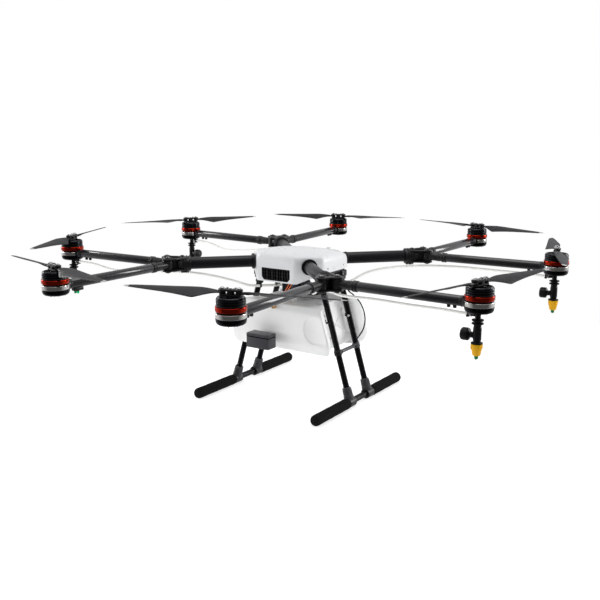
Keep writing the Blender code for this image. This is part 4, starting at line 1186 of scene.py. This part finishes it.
def add_cord(name, route, diameter, material, slot, **words):
    """A cord along a route."""
    path = smooth_path(route, 8)
    piece = Piece()
    piece.add(sweep(path, diameter / 2, 14), material)
    obj = linked(name, piece.bake(name, 60))
    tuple(path[0])
    round(length_of(path), 3)
    return obj


for n in SPRAY_MOTORS:
    hose = add_cord(f"spray_hose_{n}", hose_route(n), 0.008, HOSE_WITH_PAINTED_GLOW, "hose_clear", stiffness="stiff", lay="hanging")
    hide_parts(f"hose_{n}")
    along = arm_axes(n)[0]
    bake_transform(hose)

CABLES = (("leg_cable", 0.0042, CABLE, [(0.112, 0.0715, -0.066), (0.12, 0.0725, -0.084), (0.131, 0.074, -0.108),
    (0.15, 0.076, -0.122), (0.17, 0.078, -0.141), (0.184, 0.079, -0.168), (0.189, 0.0785, -0.196), (0.184, 0.077,
    -0.224), (0.174, 0.073, -0.244), (0.166, 0.0665, -0.258)]), ("power_wire_red_1", 0.0028, ORANGE_WIRE, [(0.044,
    -0.106, -0.04), (0.0462, -0.118, -0.05), (0.045, -0.122, -0.061), (0.0356, -0.122, -0.0779), (0.0246, -0.121,
    -0.0943), (0.018, -0.108, -0.101), (0.016, -0.076, -0.096), (0.015, -0.048, -0.09)]), ("power_wire_red_2", 0.0028,
    ORANGE_WIRE, [(0.052, -0.104, -0.04), (0.0545, -0.117, -0.051), (0.053, -0.122, -0.064), (0.0428, -0.122,
    -0.0786), (0.0337, -0.121, -0.0902), (0.026, -0.106, -0.096), (0.021, -0.076, -0.093), (0.019, -0.048, -0.09)]),
    ("power_wire_black", 0.003, CABLE, [(0.06, -0.102, -0.04), (0.065, -0.115, -0.052), (0.064, -0.122, -0.0657),
    (0.0536, -0.122, -0.0774), (0.0464, -0.121, -0.0873), (0.037, -0.105, -0.093), (0.027, -0.076, -0.091), (0.024,
    -0.048, -0.09)]), )
for name, diameter, material, points in CABLES:
    cable = add_cord(name, [HUB + Vector(p) for p in points], diameter, material, "black_plastic", stiffness="medium",
        lay="hanging")
    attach(cable, "airframe")


# ---- studio and camera ----
DARK_SIDE = Vector((0.562, -0.827))      # level direction in which the studio is darkest
WORLD_BASE, WORLD_GAIN = 0.07, 0.54      # strength on the dark side, and what the bright side adds
FLOOR_R, FLOOR_SIDES = 1.5, 72
# name, place, what it faces, size, watts, whether glossy surfaces mirror it
LAMPS = (("overhead", (0.0, 0.0, 3.2), (0, 0, 0.3), (2.2, 2.2), 31, True), ("right", (1.9, 1.9, 1.1), (0, 0, 0.4),
    (0.5, 1.7), 26, True), ("left", (-2.6, -0.5, 1.1), (0, 0, 0.4), (0.5, 1.7), 26, True), ("fill_left", (-1.7, -2.3,
    0.6), (0, 0, 0.25), (2.2, 1.0), 26, False), ("fill_right", (2.8, 0.5, 0.6), (0, 0, 0.25), (2.2, 1.0), 19, False))
CAMERA_AT = (1.42787, -2.08491, 0.83737)
CAMERA_ANGLES = (-34.166, 12.266, -0.164)     # yaw, pitch down and roll in degrees
CAMERA_LENS, CAMERA_SENSOR = 49.274, 36
CAMERA_SHIFT = (0.0022, 0.0007)


def studio():
    """World light that darkens towards the front, a pale floor, three lamps and two fills without reflections."""
    world = bpy.data.worlds.new("studio")
    bpy.context.scene.world = world
    world.use_nodes = True
    nodes = Nodes(world)
    tree, maths, link = nodes.tree, nodes.maths, nodes.link
    background = tree.nodes["Background"]
    seen = tree.nodes.new("ShaderNodeBackground")
    seen.inputs["Color"].default_value = (1, 1, 1, 1)
    seen.inputs["Strength"].default_value = 1.0
    background.inputs["Color"].default_value = (0.98, 0.99, 1.0, 1)

    split = tree.nodes.new("ShaderNodeSeparateXYZ")
    link(tree.nodes.new("ShaderNodeTexCoord").outputs["Generated"], split.inputs[0])
    front = maths("ADD", maths("MULTIPLY", split.outputs["X"], DARK_SIDE.x), maths("MULTIPLY", split.outputs["Y"],
        DARK_SIDE.y))
    backdrop = maths("MULTIPLY_ADD", front, -1.1, 0.6)
    ceiling = maths("MULTIPLY_ADD", split.outputs["Z"], 1.4, -0.45)
    share = maths("MAXIMUM", backdrop, ceiling)
    strength = maths("ADD", maths("MULTIPLY", share, WORLD_GAIN), WORLD_BASE)
    link(strength, background.inputs["Strength"])
    path = tree.nodes.new("ShaderNodeLightPath")
    mix = tree.nodes.new("ShaderNodeMixShader")
    link(path.outputs["Is Camera Ray"], mix.inputs["Fac"])
    link(background.outputs[0], mix.inputs[1])
    link(seen.outputs[0], mix.inputs[2])
    link(mix.outputs[0], tree.nodes["World Output"].inputs["Surface"])

    floor_mesh = bpy.data.meshes.new("floor")
    turns = [math.radians(360 / FLOOR_SIDES * i) for i in range(FLOOR_SIDES)]
    floor_mesh.from_pydata([(FLOOR_R * math.cos(a), FLOOR_R * math.sin(a), 0) for a in turns], [],
        [range(FLOOR_SIDES)])
    floor_mesh.materials.append(principled("floor_white", (0.6, 0.6, 0.6), 0.9, Emission_Color=(1, 1, 1, 1),
        Emission_Strength=0.66, Specular_IOR_Level=0.0))
    floor = linked("floor", floor_mesh)
    floor.visible_glossy = False

    for name, place, aim, size, power, mirrored in LAMPS:
        lamp = bpy.data.lights.new(name, "AREA")
        lamp.shape = "RECTANGLE"
        lamp.size, lamp.size_y = size
        lamp.energy = power
        light = linked(name, lamp)
        light.visible_camera = False
        light.visible_glossy = mirrored
        light.matrix_world = Matrix.Translation(place) @ (Vector(aim) - Vector(place)).to_track_quat("-Z",
            "Y").to_matrix().to_4x4()


def add_camera():
    """The camera at the reference view."""
    yaw, pitch, roll = (math.radians(a) for a in CAMERA_ANGLES)
    look = Vector((math.sin(yaw) * math.cos(pitch), math.cos(yaw) * math.cos(pitch), -math.sin(pitch)))
    camera = linked("camera", bpy.data.cameras.new("camera"))
    camera.matrix_world = (Matrix.Translation(CAMERA_AT) @ look.to_track_quat("-Z", "Y").to_matrix().to_4x4()
        @ Matrix.Rotation(roll, 4, "Z"))
    camera.data.sensor_width = CAMERA_SENSOR
    camera.data.lens = CAMERA_LENS
    camera.data.shift_x, camera.data.shift_y = CAMERA_SHIFT
    bpy.context.scene.camera = camera


studio()
add_camera()
bpy.context.scene.view_settings.view_transform = "Standard"

bpy.context.view_layer.update()
